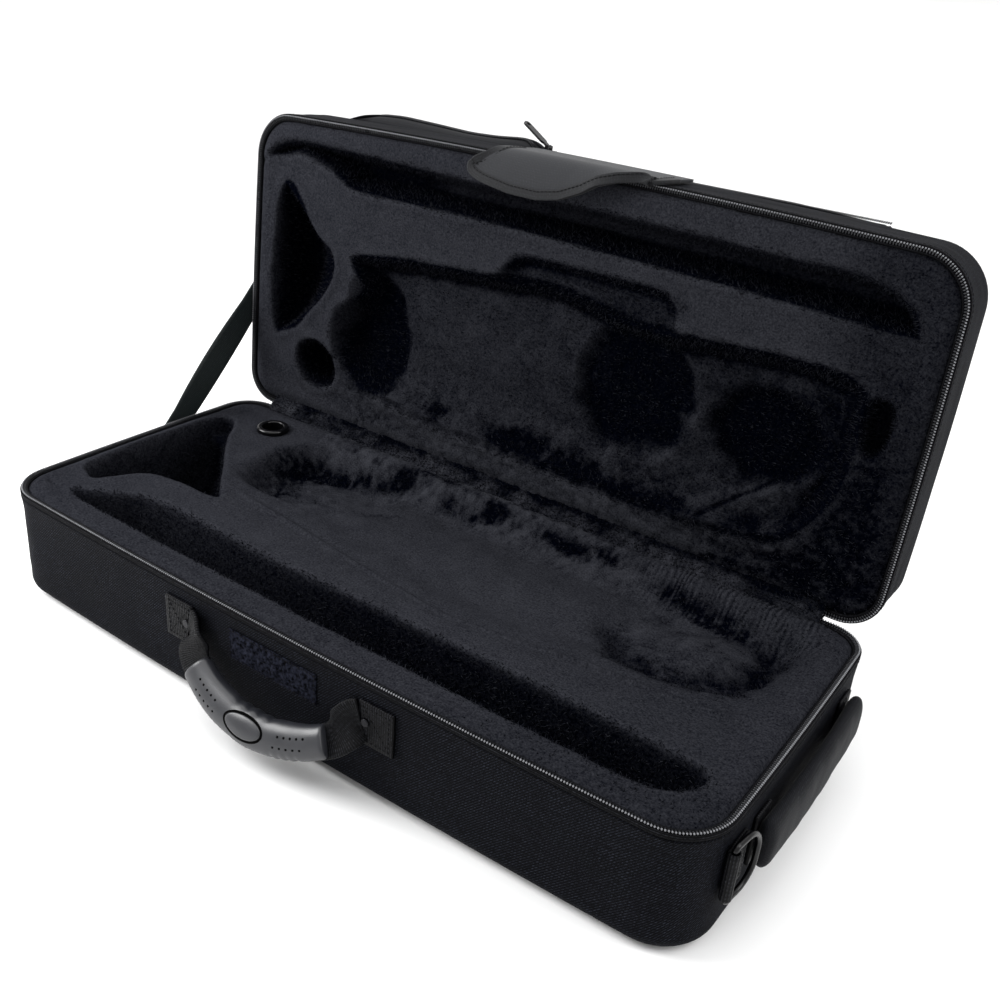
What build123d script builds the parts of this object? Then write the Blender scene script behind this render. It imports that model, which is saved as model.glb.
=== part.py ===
from build123d import *
from math import cos, radians, sin
import os

# Soft trumpet case, open as it stands on a table, in millimetres.
# The origin is the middle of the underside. +X runs along the length, -Y is the front wall with the
# carry handle, +Z is up. The hinge runs along the top of the back wall.

# Case body
case_length = 560.0         # end wall to end wall, at the corners
case_width = 238.0          # front wall to back wall, at the corners
base_height = 84.0          # underside to the parting line
lid_depth = 54.0            # parting line to the lid's outer face
corner_radius = 35.0        # upright corners
back_corner_radius = 26.0   # upright corners at the hinge
outer_edge_radius = 11.0    # round the underside and round the lid's outer face
front_crown = 5.0           # how far the front wall bows out at the middle
end_crown = 1.5             # how far the end walls bow out
open_angle = 94.5           # lid opening that the stay strap allows

# Wall layers, from outside to inside
cover_thickness = 1.5       # laminated nylon
wall_thickness = 6.0        # rigid foam board
layer_gap = 0.2             # glue line between layers
seam_gap = 0.4              # each rim stays this far from the parting line

# Main zip
tape_thickness = 0.8
tape_drop = 9.0             # how far the tape reaches down the outside of the wall
coil_width = 2.8
coil_height = 2.8
coil_inset = 1.6            # outer face of the wall to the coil
zip_end = 205.0             # the zip stops this far from the middle of the back wall

# Liner
liner_land_drop = 2.6       # moulded insert's top, below the rim
liner_lip_width = 9.0       # plush roll inside the zip
bell_radius = 61.5
bell_clearance = 2.0
bell_axis_y = -6.0
bell_axis_drop = 15.0       # below the parting line
bell_end_x = -266.0         # end of the slot, beyond the bell's rim
bell_rim_room = 18.0        # full-radius stretch of the slot
bell_mid_x = -213.0
bell_mid_radius = 34.0
bell_throat_x = -166.0
bell_throat_radius = 11.0
plush_floor = 1.2           # least lining left under the deepest recess
trough_front_y = -96.0
trough_back_y = -60.0
trough_left_x = -236.0
trough_right_x = 257.0
trough_depth = 44.0
lid_trough_front_y = -102.0
lid_trough_back_y = -73.0
lid_trough_depth = 27.0
basin_depth = 19.0
slide_well_depth = 32.0
lid_recess_depth = 20.0
lid_shelf_depth = 9.0
lid_well_depth = 29.0

# Mouthpiece holder
mouthpiece_x = -215.0
mouthpiece_y = 84.0
mouthpiece_bore = 8.5       # radius
mouthpiece_flange = 13.0    # radius
mouthpiece_sleeve = 10.6    # radius
mouthpiece_sleeve_length = 12.0
mouthpiece_depth = 46.0
mouthpiece_lid_radius = 21.0
mouthpiece_lid_depth = 34.0
ring_height = 3.6

# Webbing fittings on the walls
sewn_gap = 0.15
webbing_thickness = 2.4
handle_centre_x = -1.5
anchor_spacing = 140.0      # between the inner edges of the two anchor tabs
anchor_width = 25.0
anchor_height = 30.0
rivet_radius = 2.8
rivet_height = 1.0
patch_width = 74.0
patch_height = 23.0
patch_thickness = 1.5
patch_x = -3.0

# Carry handle, described in its own plane, which droops from the anchors
handle_droop = 60.0         # below the horizontal
handle_axis_drop = 27.0     # below the parting line
grip_span = 110.0
grip_end_reach = 21.0       # anchor axis to the ends of the grip's centre line
grip_mid_reach = 37.0
grip_width = 23.0
grip_thickness = 16.0
groove_radius = 9.0
groove_depth = 1.3
groove_pitch = 15.0
badge_length = 30.0
badge_width = 14.0
badge_height = 0.8
loop_width = 24.0
loop_thickness = 2.6

# End handle on the right wall
end_handle_y = 10.5
end_handle_half_length = 71.5
end_handle_height = 33.0
end_handle_thickness = 9.0
end_handle_gap = 8.0        # room behind the middle of the handle
end_handle_drop = 35.0      # middle of the handle, below the parting line
end_tab_length = 18.0

# Shoulder-strap rings at both ends
ring_y = -92.0
ring_drop = 33.0            # middle of the ring, below the parting line
ring_wire = 3.4
ring_inner_height = 34.0
ring_inner_depth = 22.0
ring_far_radius = 15.0
ring_near_radius = 2.5
ring_swing = 8.0            # out from the end wall at rest
ring_bore_gap = 0.15
ring_loop_height = 32.0
ring_loop_wall = 1.9
ring_tab_length = 19.0

# Parked sliders of the main zip, on the back wall
slider_park_x = 223.0
slider_length = 11.0
slider_height = 8.6
slider_thickness = 4.4
pull_width = 6.5
pull_length = 27.0
pull_thickness = 1.5
pull_hole_radius = 1.7
pin_radius = 0.8
pin_gap = 0.1

# Pocket on the lid's outer face
pocket_length = 464.0
pocket_front_y = -119.0
pocket_back_y = 84.0
pocket_depth = 12.0
pocket_corner = 22.0
pocket_edge = 5.0
pocket_zip_length = 420.0
pocket_tape_width = 9.0
pocket_coil_width = 3.6
pocket_coil_height = 1.8
pocket_slider_x = -44.0
pocket_pull_lift = 32.0     # how far the pull stands off the zip

# Closing flap
flap_x = 8.0
flap_width = 112.0
flap_length = 33.0          # free part, from the fold to its edge
flap_thickness = 2.2
flap_fold = 72.0            # from hanging shut to lying over the rim
flap_pivot_drop = 1.7       # fold line, below the parting line when shut
flap_root_end = 40.0        # the sewn end, above the parting line when shut
flap_corner = 14.0
binding_width = 6.0
binding_extra = 0.5         # proud of the flap on each face
hook_margin = 3.0           # hook strip is this much narrower than the loop patch, each side
hook_height = 16.0
hook_thickness = 1.0
hook_clearance = 0.9

# Fabric across the hinge and the stay strap
hinge_fabric_thickness = 1.0
hinge_fabric_reach = 22.0
hinge_fabric_half_length = 200.0
hinge_lining_half_length = 203.0   # it stays between the ends of the zip
hinge_lining_foot = 2.6
hinge_lining_thickness = 1.2
stay_width = 22.0
stay_thickness = 1.6
stay_sewn_length = 24.0
stay_base_y = 48.0          # where the strap crosses the base rim
stay_lid_reach = 77.0       # where it crosses the lid rim, from the hinge line
stay_lid_sink = 0.0

# Levels and lines that follow from the sizes above
half_width = case_width / 2
half_length = case_length / 2
rim_level = base_height - seam_gap
coil_level = rim_level - coil_height
wall_top = coil_level - tape_thickness
shell_inset = cover_thickness + layer_gap
liner_inset = shell_inset + wall_thickness + layer_gap
lip_inset = coil_inset + coil_width + 0.8
land_level = rim_level - liner_land_drop
lid_rim = lid_depth - seam_gap
lid_coil_level = lid_rim - coil_height
lid_wall_top = lid_coil_level - tape_thickness
lid_land = lid_rim - liner_land_drop
front_face_y = -half_width - front_crown
anchor_top = wall_top - tape_drop - layer_gap
handle_axis_height = base_height - handle_axis_drop
end_handle_z = base_height - end_handle_drop
ring_z = base_height - ring_drop
patch_top = anchor_top - 0.6
hinge_line = Axis((0, half_width, base_height), (1, 0, 0))


# ---------------------------------------------------------------- shared forms

def outline(inset):
    """Plan of the case, set in from the outer face: straight back, bowed front and ends."""
    x = half_length - inset
    y = half_width - inset
    sides = [
        Line((-x, y), (x, y)),
        ThreePointArc((x, y), (x + end_crown, 0), (x, -y)),
        ThreePointArc((x, -y), (0, -y - front_crown), (-x, -y)),
        ThreePointArc((-x, -y), (-x - end_crown, 0), (-x, y)),
    ]
    face = make_face(sides)
    back = face.vertices().group_by(Axis.Y)[-1]
    face = fillet(back, back_corner_radius - inset)
    front = face.vertices().group_by(Axis.Y)[0]
    return fillet(front, corner_radius - inset)


def block(inset, top):
    """Solid of the case's form, set in by inset on every outer face, up to the level top."""
    body = extrude(Pos(0, 0, inset) * outline(inset), top - inset)
    bottom_edges = body.faces().sort_by(Axis.Z)[0].edges()
    return fillet(bottom_edges, outer_edge_radius - inset)


def rim_band(outer_inset, inner_inset, bottom, top):
    """Band that follows the wall all the way round."""
    band = outline(outer_inset) - outline(inner_inset)
    return extrude(Pos(0, 0, bottom) * band, top - bottom)


def zip_run(shape):
    """Cuts a band open along the back, where the hinge fabric is."""
    return shape - Pos(0, half_width, 0) * Box(2 * zip_end, 4 * tape_drop, 4 * base_height)


def wall_piece(offset, thickness, x_low, x_high, bottom, top):
    """Piece of webbing that lies on the bowed front wall."""
    band = rim_band(-offset - thickness, -offset, bottom, top)
    middle = ((x_low + x_high) / 2, front_face_y, (bottom + top) / 2)
    return band & (Pos(*middle) * Box(x_high - x_low, 60, top - bottom))


def shut_to_open(shape):
    """Turns a shape from where it is with the case shut to where it stands open."""
    return shape.rotate(hinge_line, -open_angle)


def on_lid(shape):
    """Takes a shape from the lid's own frame, outer face down, to the open lid."""
    shut = Pos(0, 0, base_height + lid_depth) * mirror(shape, about=Plane.XY)
    return shut_to_open(shut)


def rounded_polygon(points, radius):
    return fillet(make_face(Polyline(*points, close=True)).vertices(), radius)


# ---------------------------------------------------------------- outer layers

def make_cover(top):
    return block(0, top) - block(cover_thickness, top + 1)


def make_shell(top):
    return block(shell_inset, top) - block(shell_inset + wall_thickness, top + 1)


def make_zip_tape(top, outer_drop):
    outside = rim_band(-tape_thickness, 0, top - outer_drop, top + tape_thickness)
    over_rim = rim_band(0, coil_inset + coil_width + 0.6, top, top + tape_thickness)
    return zip_run(outside + over_rim)


def make_zip_coil(level):
    return zip_run(rim_band(coil_inset, coil_inset + coil_width, level, level + coil_height))


# ---------------------------------------------------------------- liners

def bell_space(gap):
    """Room for the bell: its flare turned about the bell's axis."""
    rim = bell_radius + gap
    throat = bell_throat_radius + gap
    flare_x = bell_end_x + bell_rim_room
    flare = Spline((flare_x, rim), (bell_mid_x, bell_mid_radius + gap), (bell_throat_x, throat),
                   tangents=[(0.35, -1), (1, -0.12)])
    profile = make_face([
        Line((bell_end_x, 0), (bell_end_x, rim)),
        Line((bell_end_x, rim), (flare_x, rim)),
        flare,
        Line((bell_throat_x, throat), (bell_throat_x, 0)),
        Line((bell_throat_x, 0), (bell_end_x, 0)),
    ])
    turned = revolve(profile, Axis.X, 360)
    return Pos(0, bell_axis_y, base_height - bell_axis_drop) * turned, profile


def bell_slot():
    """The bell's room, open upwards, as it is cut into the base."""
    turned, profile = bell_space(bell_clearance)
    half = Pos(0, bell_axis_y, base_height - bell_axis_drop) * profile
    other_half = Pos(0, bell_axis_y, base_height - bell_axis_drop) * mirror(profile, about=Plane.XZ)
    return turned + extrude(half + other_half, 2 * bell_axis_drop)


def trough_face(front_y, back_y):
    """Long slot for the lead pipe, pointed at the bell's end and round at the other."""
    width = back_y - front_y
    round_end = trough_right_x - width
    return make_face([
        Line((trough_left_x, front_y + 3), (trough_left_x + 60, front_y)),
        Line((trough_left_x + 60, front_y), (round_end, front_y)),
        ThreePointArc((round_end, front_y), (trough_right_x - 0.3 * width, front_y + 0.32 * width),
                      (trough_right_x, back_y - 2)),
        Line((trough_right_x, back_y - 2), (trough_right_x - 8, back_y)),
        Line((trough_right_x - 8, back_y), (trough_left_x + 100, back_y)),
        Line((trough_left_x + 100, back_y), (trough_left_x, front_y + 10)),
        Line((trough_left_x, front_y + 10), (trough_left_x, front_y + 3)),
    ])


def basin_face():
    """The shallow bed that carries the instrument's body."""
    return rounded_polygon([(-176, -22), (-96, -44), (205, -44), (251, -8), (251, 86), (228, 103),
                            (-148, 103), (-186, 66)], 12)


def slide_well_face():
    return Pos(192, 53) * RectangleRounded(106, 84, 36)


def lined(recess, top):
    """Holds a recess back so that lining is left between it and the shell."""
    return recess & block(liner_inset + plush_floor, top + 20)


def cut_down(face, level, depth):
    return extrude(Pos(0, 0, level - depth) * face, depth + 20)


def make_base_liner():
    body = block(liner_inset, land_level)
    lip = rim_band(lip_inset, liner_inset + liner_lip_width, wall_top + layer_gap,
                   rim_level - layer_gap)
    body = body + lip
    body = body - lined(bell_slot(), rim_level)
    body = body - cut_down(trough_face(trough_front_y, trough_back_y), rim_level, trough_depth)
    body = body - cut_down(basin_face(), rim_level, basin_depth)
    body = body - cut_down(slide_well_face(), rim_level, slide_well_depth)
    holder = Pos(mouthpiece_x, mouthpiece_y, 0)
    hole_bottom = land_level - mouthpiece_depth
    body = body - holder * Pos(0, 0, hole_bottom + base_height / 2) * Cylinder(mouthpiece_sleeve + layer_gap,
                                                                             base_height)
    return body


def lid_recess_face():
    return rounded_polygon([(-174, -27), (-48, -38), (222, -38), (236, -22), (230, 48), (206, 64),
                            (-150, 64), (-188, 50), (-192, 26), (-166, 0)], 9)


def lid_shelf_face():
    return rounded_polygon([(-42, -20), (-22, -59), (98, -61), (108, -20)], 8)


def make_lid_liner():
    """In the lid's own frame, outer face down."""
    body = block(liner_inset, lid_land)
    lip = rim_band(lip_inset, liner_inset + liner_lip_width, lid_wall_top + layer_gap,
                   lid_rim - layer_gap)
    body = body + lip
    turned, profile = bell_space(bell_clearance)
    shut_bell = mirror(Pos(0, 0, -base_height - lid_depth) * turned, about=Plane.XY)
    body = body - lined(shut_bell, lid_rim)
    body = body - cut_down(trough_face(lid_trough_front_y, lid_trough_back_y), lid_rim, lid_trough_depth)
    body = body - cut_down(lid_recess_face(), lid_rim, lid_recess_depth)
    body = body - cut_down(lid_shelf_face(), lid_rim, lid_shelf_depth)
    valve_well = Pos(66, 6) * RectangleRounded(92, 68, 14)
    slide_well = Pos(168, 4) * RectangleRounded(92, 66, 26)
    hook_well = Pos(248, -12) * SlotOverall(42, 17, rotation=90)
    body = body - cut_down(valve_well, lid_rim, lid_well_depth)
    body = body - cut_down(slide_well, lid_rim, lid_well_depth)
    body = body - cut_down(hook_well, lid_rim, lid_recess_depth)
    cup = Pos(mouthpiece_x + 6, mouthpiece_y - 10) * Circle(mouthpiece_lid_radius)
    return body - cut_down(cup, lid_rim, mouthpiece_lid_depth)


def make_mouthpiece_ring():
    seat = land_level + 0.1
    flange = Pos(0, 0, seat + ring_height / 2) * Cylinder(mouthpiece_flange, ring_height)
    flange = fillet(flange.edges().group_by(Axis.Z)[-1], ring_height * 0.45)
    sleeve = Pos(0, 0, seat - mouthpiece_sleeve_length / 2) * Cylinder(mouthpiece_sleeve, mouthpiece_sleeve_length)
    bore = Pos(0, 0, seat) * Cylinder(mouthpiece_bore, 4 * mouthpiece_sleeve_length)
    ring = flange + sleeve - bore
    ring = fillet(ring.edges().filter_by(GeomType.CIRCLE).group_by(Axis.Z)[-1], 0.9)
    return Pos(mouthpiece_x, mouthpiece_y, 0) * ring


# ---------------------------------------------------------------- carry handle

anchor_inner_left = handle_centre_x - anchor_spacing / 2
anchor_inner_right = handle_centre_x + anchor_spacing / 2
handle_axis_y = front_face_y - sewn_gap - webbing_thickness / 2
handle_plane = Plane(origin=(handle_centre_x, handle_axis_y, handle_axis_height), x_dir=(1, 0, 0),
                     z_dir=(0, -sin(radians(handle_droop)), cos(radians(handle_droop))))


def make_anchor(inner_x, direction):
    low, high = sorted([inner_x, inner_x + direction * anchor_width])
    return wall_piece(sewn_gap, webbing_thickness, low, high, anchor_top - anchor_height, anchor_top)


def make_rivets():
    rivets = []
    face_y = front_face_y - sewn_gap - webbing_thickness
    for inner_x, direction in ((anchor_inner_left, -1), (anchor_inner_right, 1)):
        cap = Rot(90, 0, 0) * Cylinder(rivet_radius, rivet_height)
        cap = fillet(cap.edges().group_by(Axis.Y)[0], rivet_height * 0.7)
        rivets.append(Pos(inner_x + direction * 5.0, face_y - rivet_height / 2, handle_axis_height) * cap)
    return Compound(children=rivets)


def grip_path():
    half = grip_span / 2
    return ThreePointArc((-half, -grip_end_reach), (0, -grip_mid_reach), (half, -grip_end_reach))


def make_grip():
    """Moulded rubber grip in the handle's plane: an oval bar with finger grooves and an oval recess."""
    path = grip_path()
    start = Plane(origin=path @ 0, x_dir=(path % 0).cross(Vector(0, 0, 1)), z_dir=path % 0)
    bar = sweep(start * Ellipse(grip_width / 2, grip_thickness / 2), path=path)
    for step in (-3, -2, -1, 1, 2, 3):
        share = 0.5 + step * groove_pitch / path.length
        outward = (path % share).cross(Vector(0, 0, 1))
        centre = path @ share + outward * (grip_width / 2 + groove_radius - groove_depth)
        bar = bar - Pos(*centre) * Cylinder(groove_radius, 2 * grip_thickness)
    return bar - badge_blank(layer_gap)


def badge_blank(gap):
    oval = Ellipse(badge_length / 2 + gap, badge_width / 2 + gap)
    floor = grip_thickness / 2 - 2 * badge_height - gap
    return Pos(0, -grip_mid_reach, floor) * extrude(oval, 3 * badge_height)


def make_badge():
    """Plain oval plate, slightly domed by its rounded edge."""
    plate = badge_blank(0)
    return fillet(plate.edges().group_by(Axis.Z)[-1], badge_height / 2)


def make_handle_webbing(side):
    """Webbing that twists from the wall, where it is sewn, to the end of the grip."""
    path = grip_path()
    share = 0 if side < 0 else 1
    inner_x = anchor_inner_left if side < 0 else anchor_inner_right
    at_wall = Plane(origin=(inner_x - side * 2 * layer_gap, handle_axis_y, handle_axis_height),
                    x_dir=(0, 0, 1), z_dir=(-side, 0, 0))
    along = path % share
    end = Plane(origin=path @ share + along * side * layer_gap, x_dir=along.cross(Vector(0, 0, 1)),
                z_dir=along)
    at_grip = handle_plane.location * end.location
    wall_section = at_wall * Rectangle(loop_width, webbing_thickness)
    grip_section = at_grip * Rectangle(loop_width * 0.8, loop_thickness)
    return loft([wall_section.face(), grip_section.face()], ruled=True)


# ---------------------------------------------------------------- end wall fittings

def end_face_x(y):
    """How far out the end wall stands at y."""
    return half_length + end_crown * (1 - (y / half_width) ** 2)


def end_piece(offset, thickness, y_low, y_high, bottom, top):
    """Piece of webbing that lies on the right end wall."""
    band = rim_band(-offset - thickness, -offset, bottom, top)
    middle = (half_length, (y_low + y_high) / 2, (bottom + top) / 2)
    return band & (Pos(*middle) * Box(60, y_high - y_low, top - bottom))


def make_end_tabs():
    low = end_handle_y - end_handle_half_length
    high = end_handle_y + end_handle_half_length
    bottom = end_handle_z - end_handle_height / 2
    top = end_handle_z + end_handle_height / 2
    front = end_piece(sewn_gap, webbing_thickness, low, low + end_tab_length, bottom, top)
    back = end_piece(sewn_gap, webbing_thickness, high - end_tab_length, high, bottom, top)
    return Compound([front.solid(), back.solid()])


def make_end_handle():
    """Padded strap that bows out from the end wall and comes back to it."""
    low = end_handle_y - end_handle_half_length
    high = end_handle_y + end_handle_half_length
    seat = sewn_gap + webbing_thickness + layer_gap + end_handle_thickness / 2
    start = (end_face_x(low) + seat + 0.3, low, end_handle_z)
    middle = (end_face_x(end_handle_y) + sewn_gap + end_handle_gap + end_handle_thickness / 2,
              end_handle_y, end_handle_z)
    finish = (end_face_x(high) + seat + 0.3, high, end_handle_z)
    path = ThreePointArc(start, middle, finish)
    section = Plane(origin=path @ 0, x_dir=(0, 0, 1), z_dir=path % 0)
    shape = section * RectangleRounded(end_handle_height, end_handle_thickness, end_handle_thickness * 0.42)
    strap = sweep(shape, path=path)
    ends = strap.faces().filter_by(GeomType.PLANE).sort_by(Axis.Y)
    end_edges = ends[0].edges() + ends[-1].edges()
    return fillet(end_edges, end_handle_thickness * 0.3)


ring_bar_x = end_face_x(ring_y) + sewn_gap + ring_loop_wall + ring_bore_gap + ring_wire / 2


def make_ring():
    """D-shaped wire ring at rest on the right end wall, its straight bar upright."""
    high = (ring_inner_height + ring_wire) / 2
    deep = ring_inner_depth + ring_wire
    face = make_face(Polyline((0, -high), (deep, -high), (deep, high), (0, high), close=True))
    near = face.vertices().group_by(Axis.X)[0]
    face = fillet(near, ring_near_radius)
    far = face.vertices().group_by(Axis.X)[-1]
    face = fillet(far, ring_far_radius)
    wire = face.wire()
    start = Plane(origin=wire @ 0, z_dir=wire % 0)
    ring = sweep(start * Circle(ring_wire / 2), path=wire)
    upright = Plane(origin=(ring_bar_x, ring_y, ring_z),
                    x_dir=(sin(radians(ring_swing)), cos(radians(ring_swing)), 0),
                    z_dir=(cos(radians(ring_swing)), -sin(radians(ring_swing)), 0))
    return upright.location * ring


def make_ring_loop():
    """Webbing folded round the ring's bar and sewn flat to the end wall."""
    bottom = ring_z - ring_loop_height / 2
    tab = end_piece(sewn_gap, 2 * ring_loop_wall * 0.75, ring_y, ring_y + ring_tab_length, bottom,
                    bottom + ring_loop_height)
    bore = ring_wire / 2 + ring_bore_gap
    fold = Pos(ring_bar_x, ring_y, ring_z) * Cylinder(bore + ring_loop_wall, ring_loop_height)
    hole = Pos(ring_bar_x, ring_y, ring_z) * Cylinder(bore, 2 * ring_loop_height)
    return tab + fold - hole


def on_left(shape):
    return mirror(shape, about=Plane.YZ)


# ---------------------------------------------------------------- zip sliders and pulls

lug_reach = pull_thickness / 2 + pin_gap + pin_radius + 0.6     # pin centre above the slider's face
eye_radius = pull_thickness / 2 + pin_radius


def make_slider(width, thickness, pin_turn):
    """Slider lying on z = 0 with its travel along X. pin_turn turns the pull's pin in its face."""
    plan = make_face(Polyline((-slider_length / 2, -width * 0.32), (-slider_length / 6, -width / 2),
                              (slider_length / 2, -width / 2), (slider_length / 2, width / 2),
                              (-slider_length / 6, width / 2), (-slider_length / 2, width * 0.32), close=True))
    body = extrude(fillet(plan.vertices(), 0.9), thickness)
    body = fillet(body.edges().group_by(Axis.Z)[-1], 0.6)
    pin_height = thickness + lug_reach
    bridge = Pos(0, 0, pin_height) * Rot(90, 0, 0) * Cylinder(pin_radius, pull_width)
    for side in (-1, 1):
        lug = Pos(0, side * (pull_width / 2 - 0.5), thickness + lug_reach / 2) * Box(3.0, 1.0, lug_reach + 1.6)
        bridge = bridge + lug
    return body + Rot(0, 0, pin_turn) * bridge


def coil_channel(width, depth):
    """Groove along the slider's travel that the zip's coil runs through."""
    return Box(4 * slider_length, width, 2 * depth)


def make_pull():
    """Pull tab with its pin along Y at the origin, the plate along +X."""
    neck = pull_width - 2.6
    blade = Pos(pull_length / 2 + 2, 0, 0) * Box(pull_length - 4, pull_width, pull_thickness)
    blade = fillet(blade.edges().filter_by(Axis.Z), pull_width * 0.42)
    stem = Pos(2.4, 0, 0) * Box(4.8, neck, pull_thickness)
    eye = Rot(90, 0, 0) * Cylinder(eye_radius, neck)
    bore = Rot(90, 0, 0) * Cylinder(pin_radius + pin_gap, 2 * pull_width)
    hole = Pos(pull_length - pull_width / 2, 0, 0) * Cylinder(pull_hole_radius, 4 * pull_thickness)
    return blade + stem + eye - bore - hole


slider_level = base_height - tape_drop / 2 - slider_height / 2 - 0.6
back_slider_plane = Plane(origin=(slider_park_x, half_width + tape_thickness + layer_gap, slider_level),
                          x_dir=(-1, 0, 0), z_dir=(0, 1, 0))
back_pull_plane = Plane(origin=(slider_park_x, half_width + tape_thickness + layer_gap + slider_thickness
                                + lug_reach, slider_level), x_dir=(0, 0, -1), z_dir=(0, 1, 0))


# ---------------------------------------------------------------- lid pocket

pocket_zip_drop = pocket_depth / 2 + layer_gap


def make_pocket():
    width = pocket_back_y - pocket_front_y
    middle = (pocket_front_y + pocket_back_y) / 2
    plan = RectangleRounded(pocket_length, width, pocket_corner)
    bag = extrude(Pos(0, middle, -pocket_depth - layer_gap) * plan, pocket_depth)
    return fillet(bag.faces().sort_by(Axis.Z)[0].edges(), pocket_edge)


def make_pocket_tape():
    y = pocket_front_y - sewn_gap / 2 - tape_thickness / 2
    return Pos(0, y, -pocket_zip_drop) * Box(pocket_zip_length, tape_thickness, pocket_tape_width)


def make_pocket_coil():
    y = pocket_front_y - sewn_gap / 2 - tape_thickness - pocket_coil_height / 2
    return Pos(0, y, -pocket_zip_drop) * Box(pocket_zip_length, pocket_coil_height, pocket_coil_width)


pocket_slider_face = pocket_front_y - sewn_gap / 2 - tape_thickness - layer_gap
pocket_slider_plane = Plane(origin=(pocket_slider_x, pocket_slider_face, -pocket_zip_drop), x_dir=(1, 0, 0),
                            z_dir=(0, -1, 0))
pocket_pull_turn = radians(pocket_pull_lift)
pocket_pull_plane = Plane(origin=(pocket_slider_x, pocket_slider_face - slider_thickness - lug_reach,
                                  -pocket_zip_drop),
                          x_dir=(-cos(pocket_pull_turn), -sin(pocket_pull_turn), 0),
                          z_dir=(-sin(pocket_pull_turn), cos(pocket_pull_turn), 0))


# ---------------------------------------------------------------- closing flap, built shut

flap_plane_y = (front_face_y - sewn_gap - patch_thickness - hook_clearance - hook_thickness
                - flap_thickness / 2)
flap_pivot_z = base_height - flap_pivot_drop
flap_axis = Axis((flap_x, flap_plane_y, flap_pivot_z), (1, 0, 0))


def flap_open(shape):
    """Folds a shape in over the rim, then opens the lid."""
    return shut_to_open(shape.rotate(flap_axis, flap_fold))


def flap_slab(inset, thickness, top_gap):
    """Slab in the flap's plane: square at the fold, round at the two free corners."""
    half = flap_width / 2 - inset
    top = -top_gap
    bottom = -flap_length + inset
    face = make_face(Polyline((-half, bottom), (half, bottom), (half, top), (-half, top), close=True))
    low_corners = face.vertices().group_by(Axis.Y)[0]
    face = fillet(low_corners, flap_corner - inset)
    upright = Plane(origin=(flap_x, flap_plane_y + thickness / 2, flap_pivot_z), x_dir=(1, 0, 0),
                    z_dir=(0, -1, 0))
    return extrude(upright * face, thickness)


def make_flap_panel():
    panel = flap_slab(binding_width, flap_thickness, 0)
    fold = Rot(0, 90, 0) * Cylinder(flap_thickness / 2, flap_width - 2 * binding_width)
    return panel + Pos(flap_x, flap_plane_y, flap_pivot_z) * fold


def make_flap_binding():
    thickness = flap_thickness + 2 * binding_extra
    top_gap = thickness / 2 + layer_gap
    inner = flap_slab(binding_width, 3 * thickness, -10)
    return flap_slab(0, thickness, top_gap) - inner


def make_hook_strip():
    bottom = flap_pivot_z - flap_length + binding_width + 1.0
    middle = (patch_x, flap_plane_y + flap_thickness / 2 + hook_thickness / 2, bottom + hook_height / 2)
    return Pos(*middle) * Box(patch_width - 2 * hook_margin, hook_thickness, hook_height)


def make_flap_root():
    """Sewn end of the flap, from the lid's front wall down to the fold."""
    inner_y = front_face_y - tape_thickness - sewn_gap
    outer_y = inner_y - flap_thickness
    fold_level = flap_pivot_z + flap_thickness / 2 + 2 * layer_gap
    profile = make_face(Polyline(
        (inner_y, base_height + flap_root_end), (outer_y, base_height + flap_root_end),
        (outer_y, base_height + 8), (flap_plane_y - flap_thickness / 2, base_height + 2),
        (flap_plane_y - flap_thickness / 2, fold_level), (flap_plane_y + flap_thickness / 2, fold_level),
        (flap_plane_y + flap_thickness / 2, base_height + 1), (inner_y, base_height + 7), close=True))
    upright = Plane(origin=(flap_x - flap_width / 2, 0, 0), x_dir=(0, 1, 0), z_dir=(1, 0, 0))
    return extrude(upright * profile, flap_width)


# ---------------------------------------------------------------- hinge fabric and stay strap

def make_hinge_fabric():
    inner = half_width + sewn_gap
    outer = inner + hinge_fabric_thickness
    fold = 1.2
    leg = Pos(0, (inner + outer) / 2, base_height - fold - hinge_fabric_reach / 2) * Box(
        2 * hinge_fabric_half_length, hinge_fabric_thickness, hinge_fabric_reach)
    lid_leg = shut_to_open(Pos(0, (inner + outer) / 2, base_height + fold + hinge_fabric_reach / 2) * Box(
        2 * hinge_fabric_half_length, hinge_fabric_thickness, hinge_fabric_reach))
    corner = Pos(0, inner + hinge_fabric_thickness * 0.75, base_height - fold - 0.3) * Box(
        2 * hinge_fabric_half_length, hinge_fabric_thickness * 1.5, 1.6)
    return leg + lid_leg + corner


def make_hinge_lining():
    """Lining that carries the plush over the hinge, from the rim of one insert to the other's."""
    length = 2 * hinge_lining_half_length
    thickness = hinge_lining_thickness
    foot_y = half_width - lip_inset + layer_gap + thickness / 2
    foot_z = wall_top + layer_gap + hinge_lining_foot / 2
    foot = Pos(0, foot_y, foot_z) * Box(length, thickness, hinge_lining_foot)
    lid_foot = shut_to_open(Pos(0, foot_y, 2 * base_height - foot_z) * Box(
        length, thickness, hinge_lining_foot))
    low = foot.center()
    high = lid_foot.center()
    section = Plane(origin=low, x_dir=(1, 0, 0), z_dir=high - low)
    strip = extrude(section * Rectangle(length, thickness), (high - low).length)
    return foot + strip + lid_foot


stay_x = -half_length - end_crown - tape_thickness - layer_gap - stay_thickness / 2
stay_base_point = Vector(stay_x, stay_base_y, base_height)
stay_lid_point = Vector(stay_x, half_width - stay_lid_reach * cos(radians(open_angle)),
                        base_height + stay_lid_reach * sin(radians(open_angle)))
stay_along = (stay_lid_point - stay_base_point).normalized()
stay_rim_span = (stay_lid_point - stay_base_point).length
stay_margin = 18.0


def stay_bar(start, finish, thickness):
    """Flat bar along the taut strap, from start to finish past the point at the base rim."""
    section = Plane(origin=stay_base_point + stay_along * start, x_dir=(1, 0, 0), z_dir=stay_along)
    inner_side = stay_thickness / 2
    return extrude(section * Pos(inner_side - thickness / 2, 0) * Rectangle(thickness, stay_width),
                   finish - start)


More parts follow.
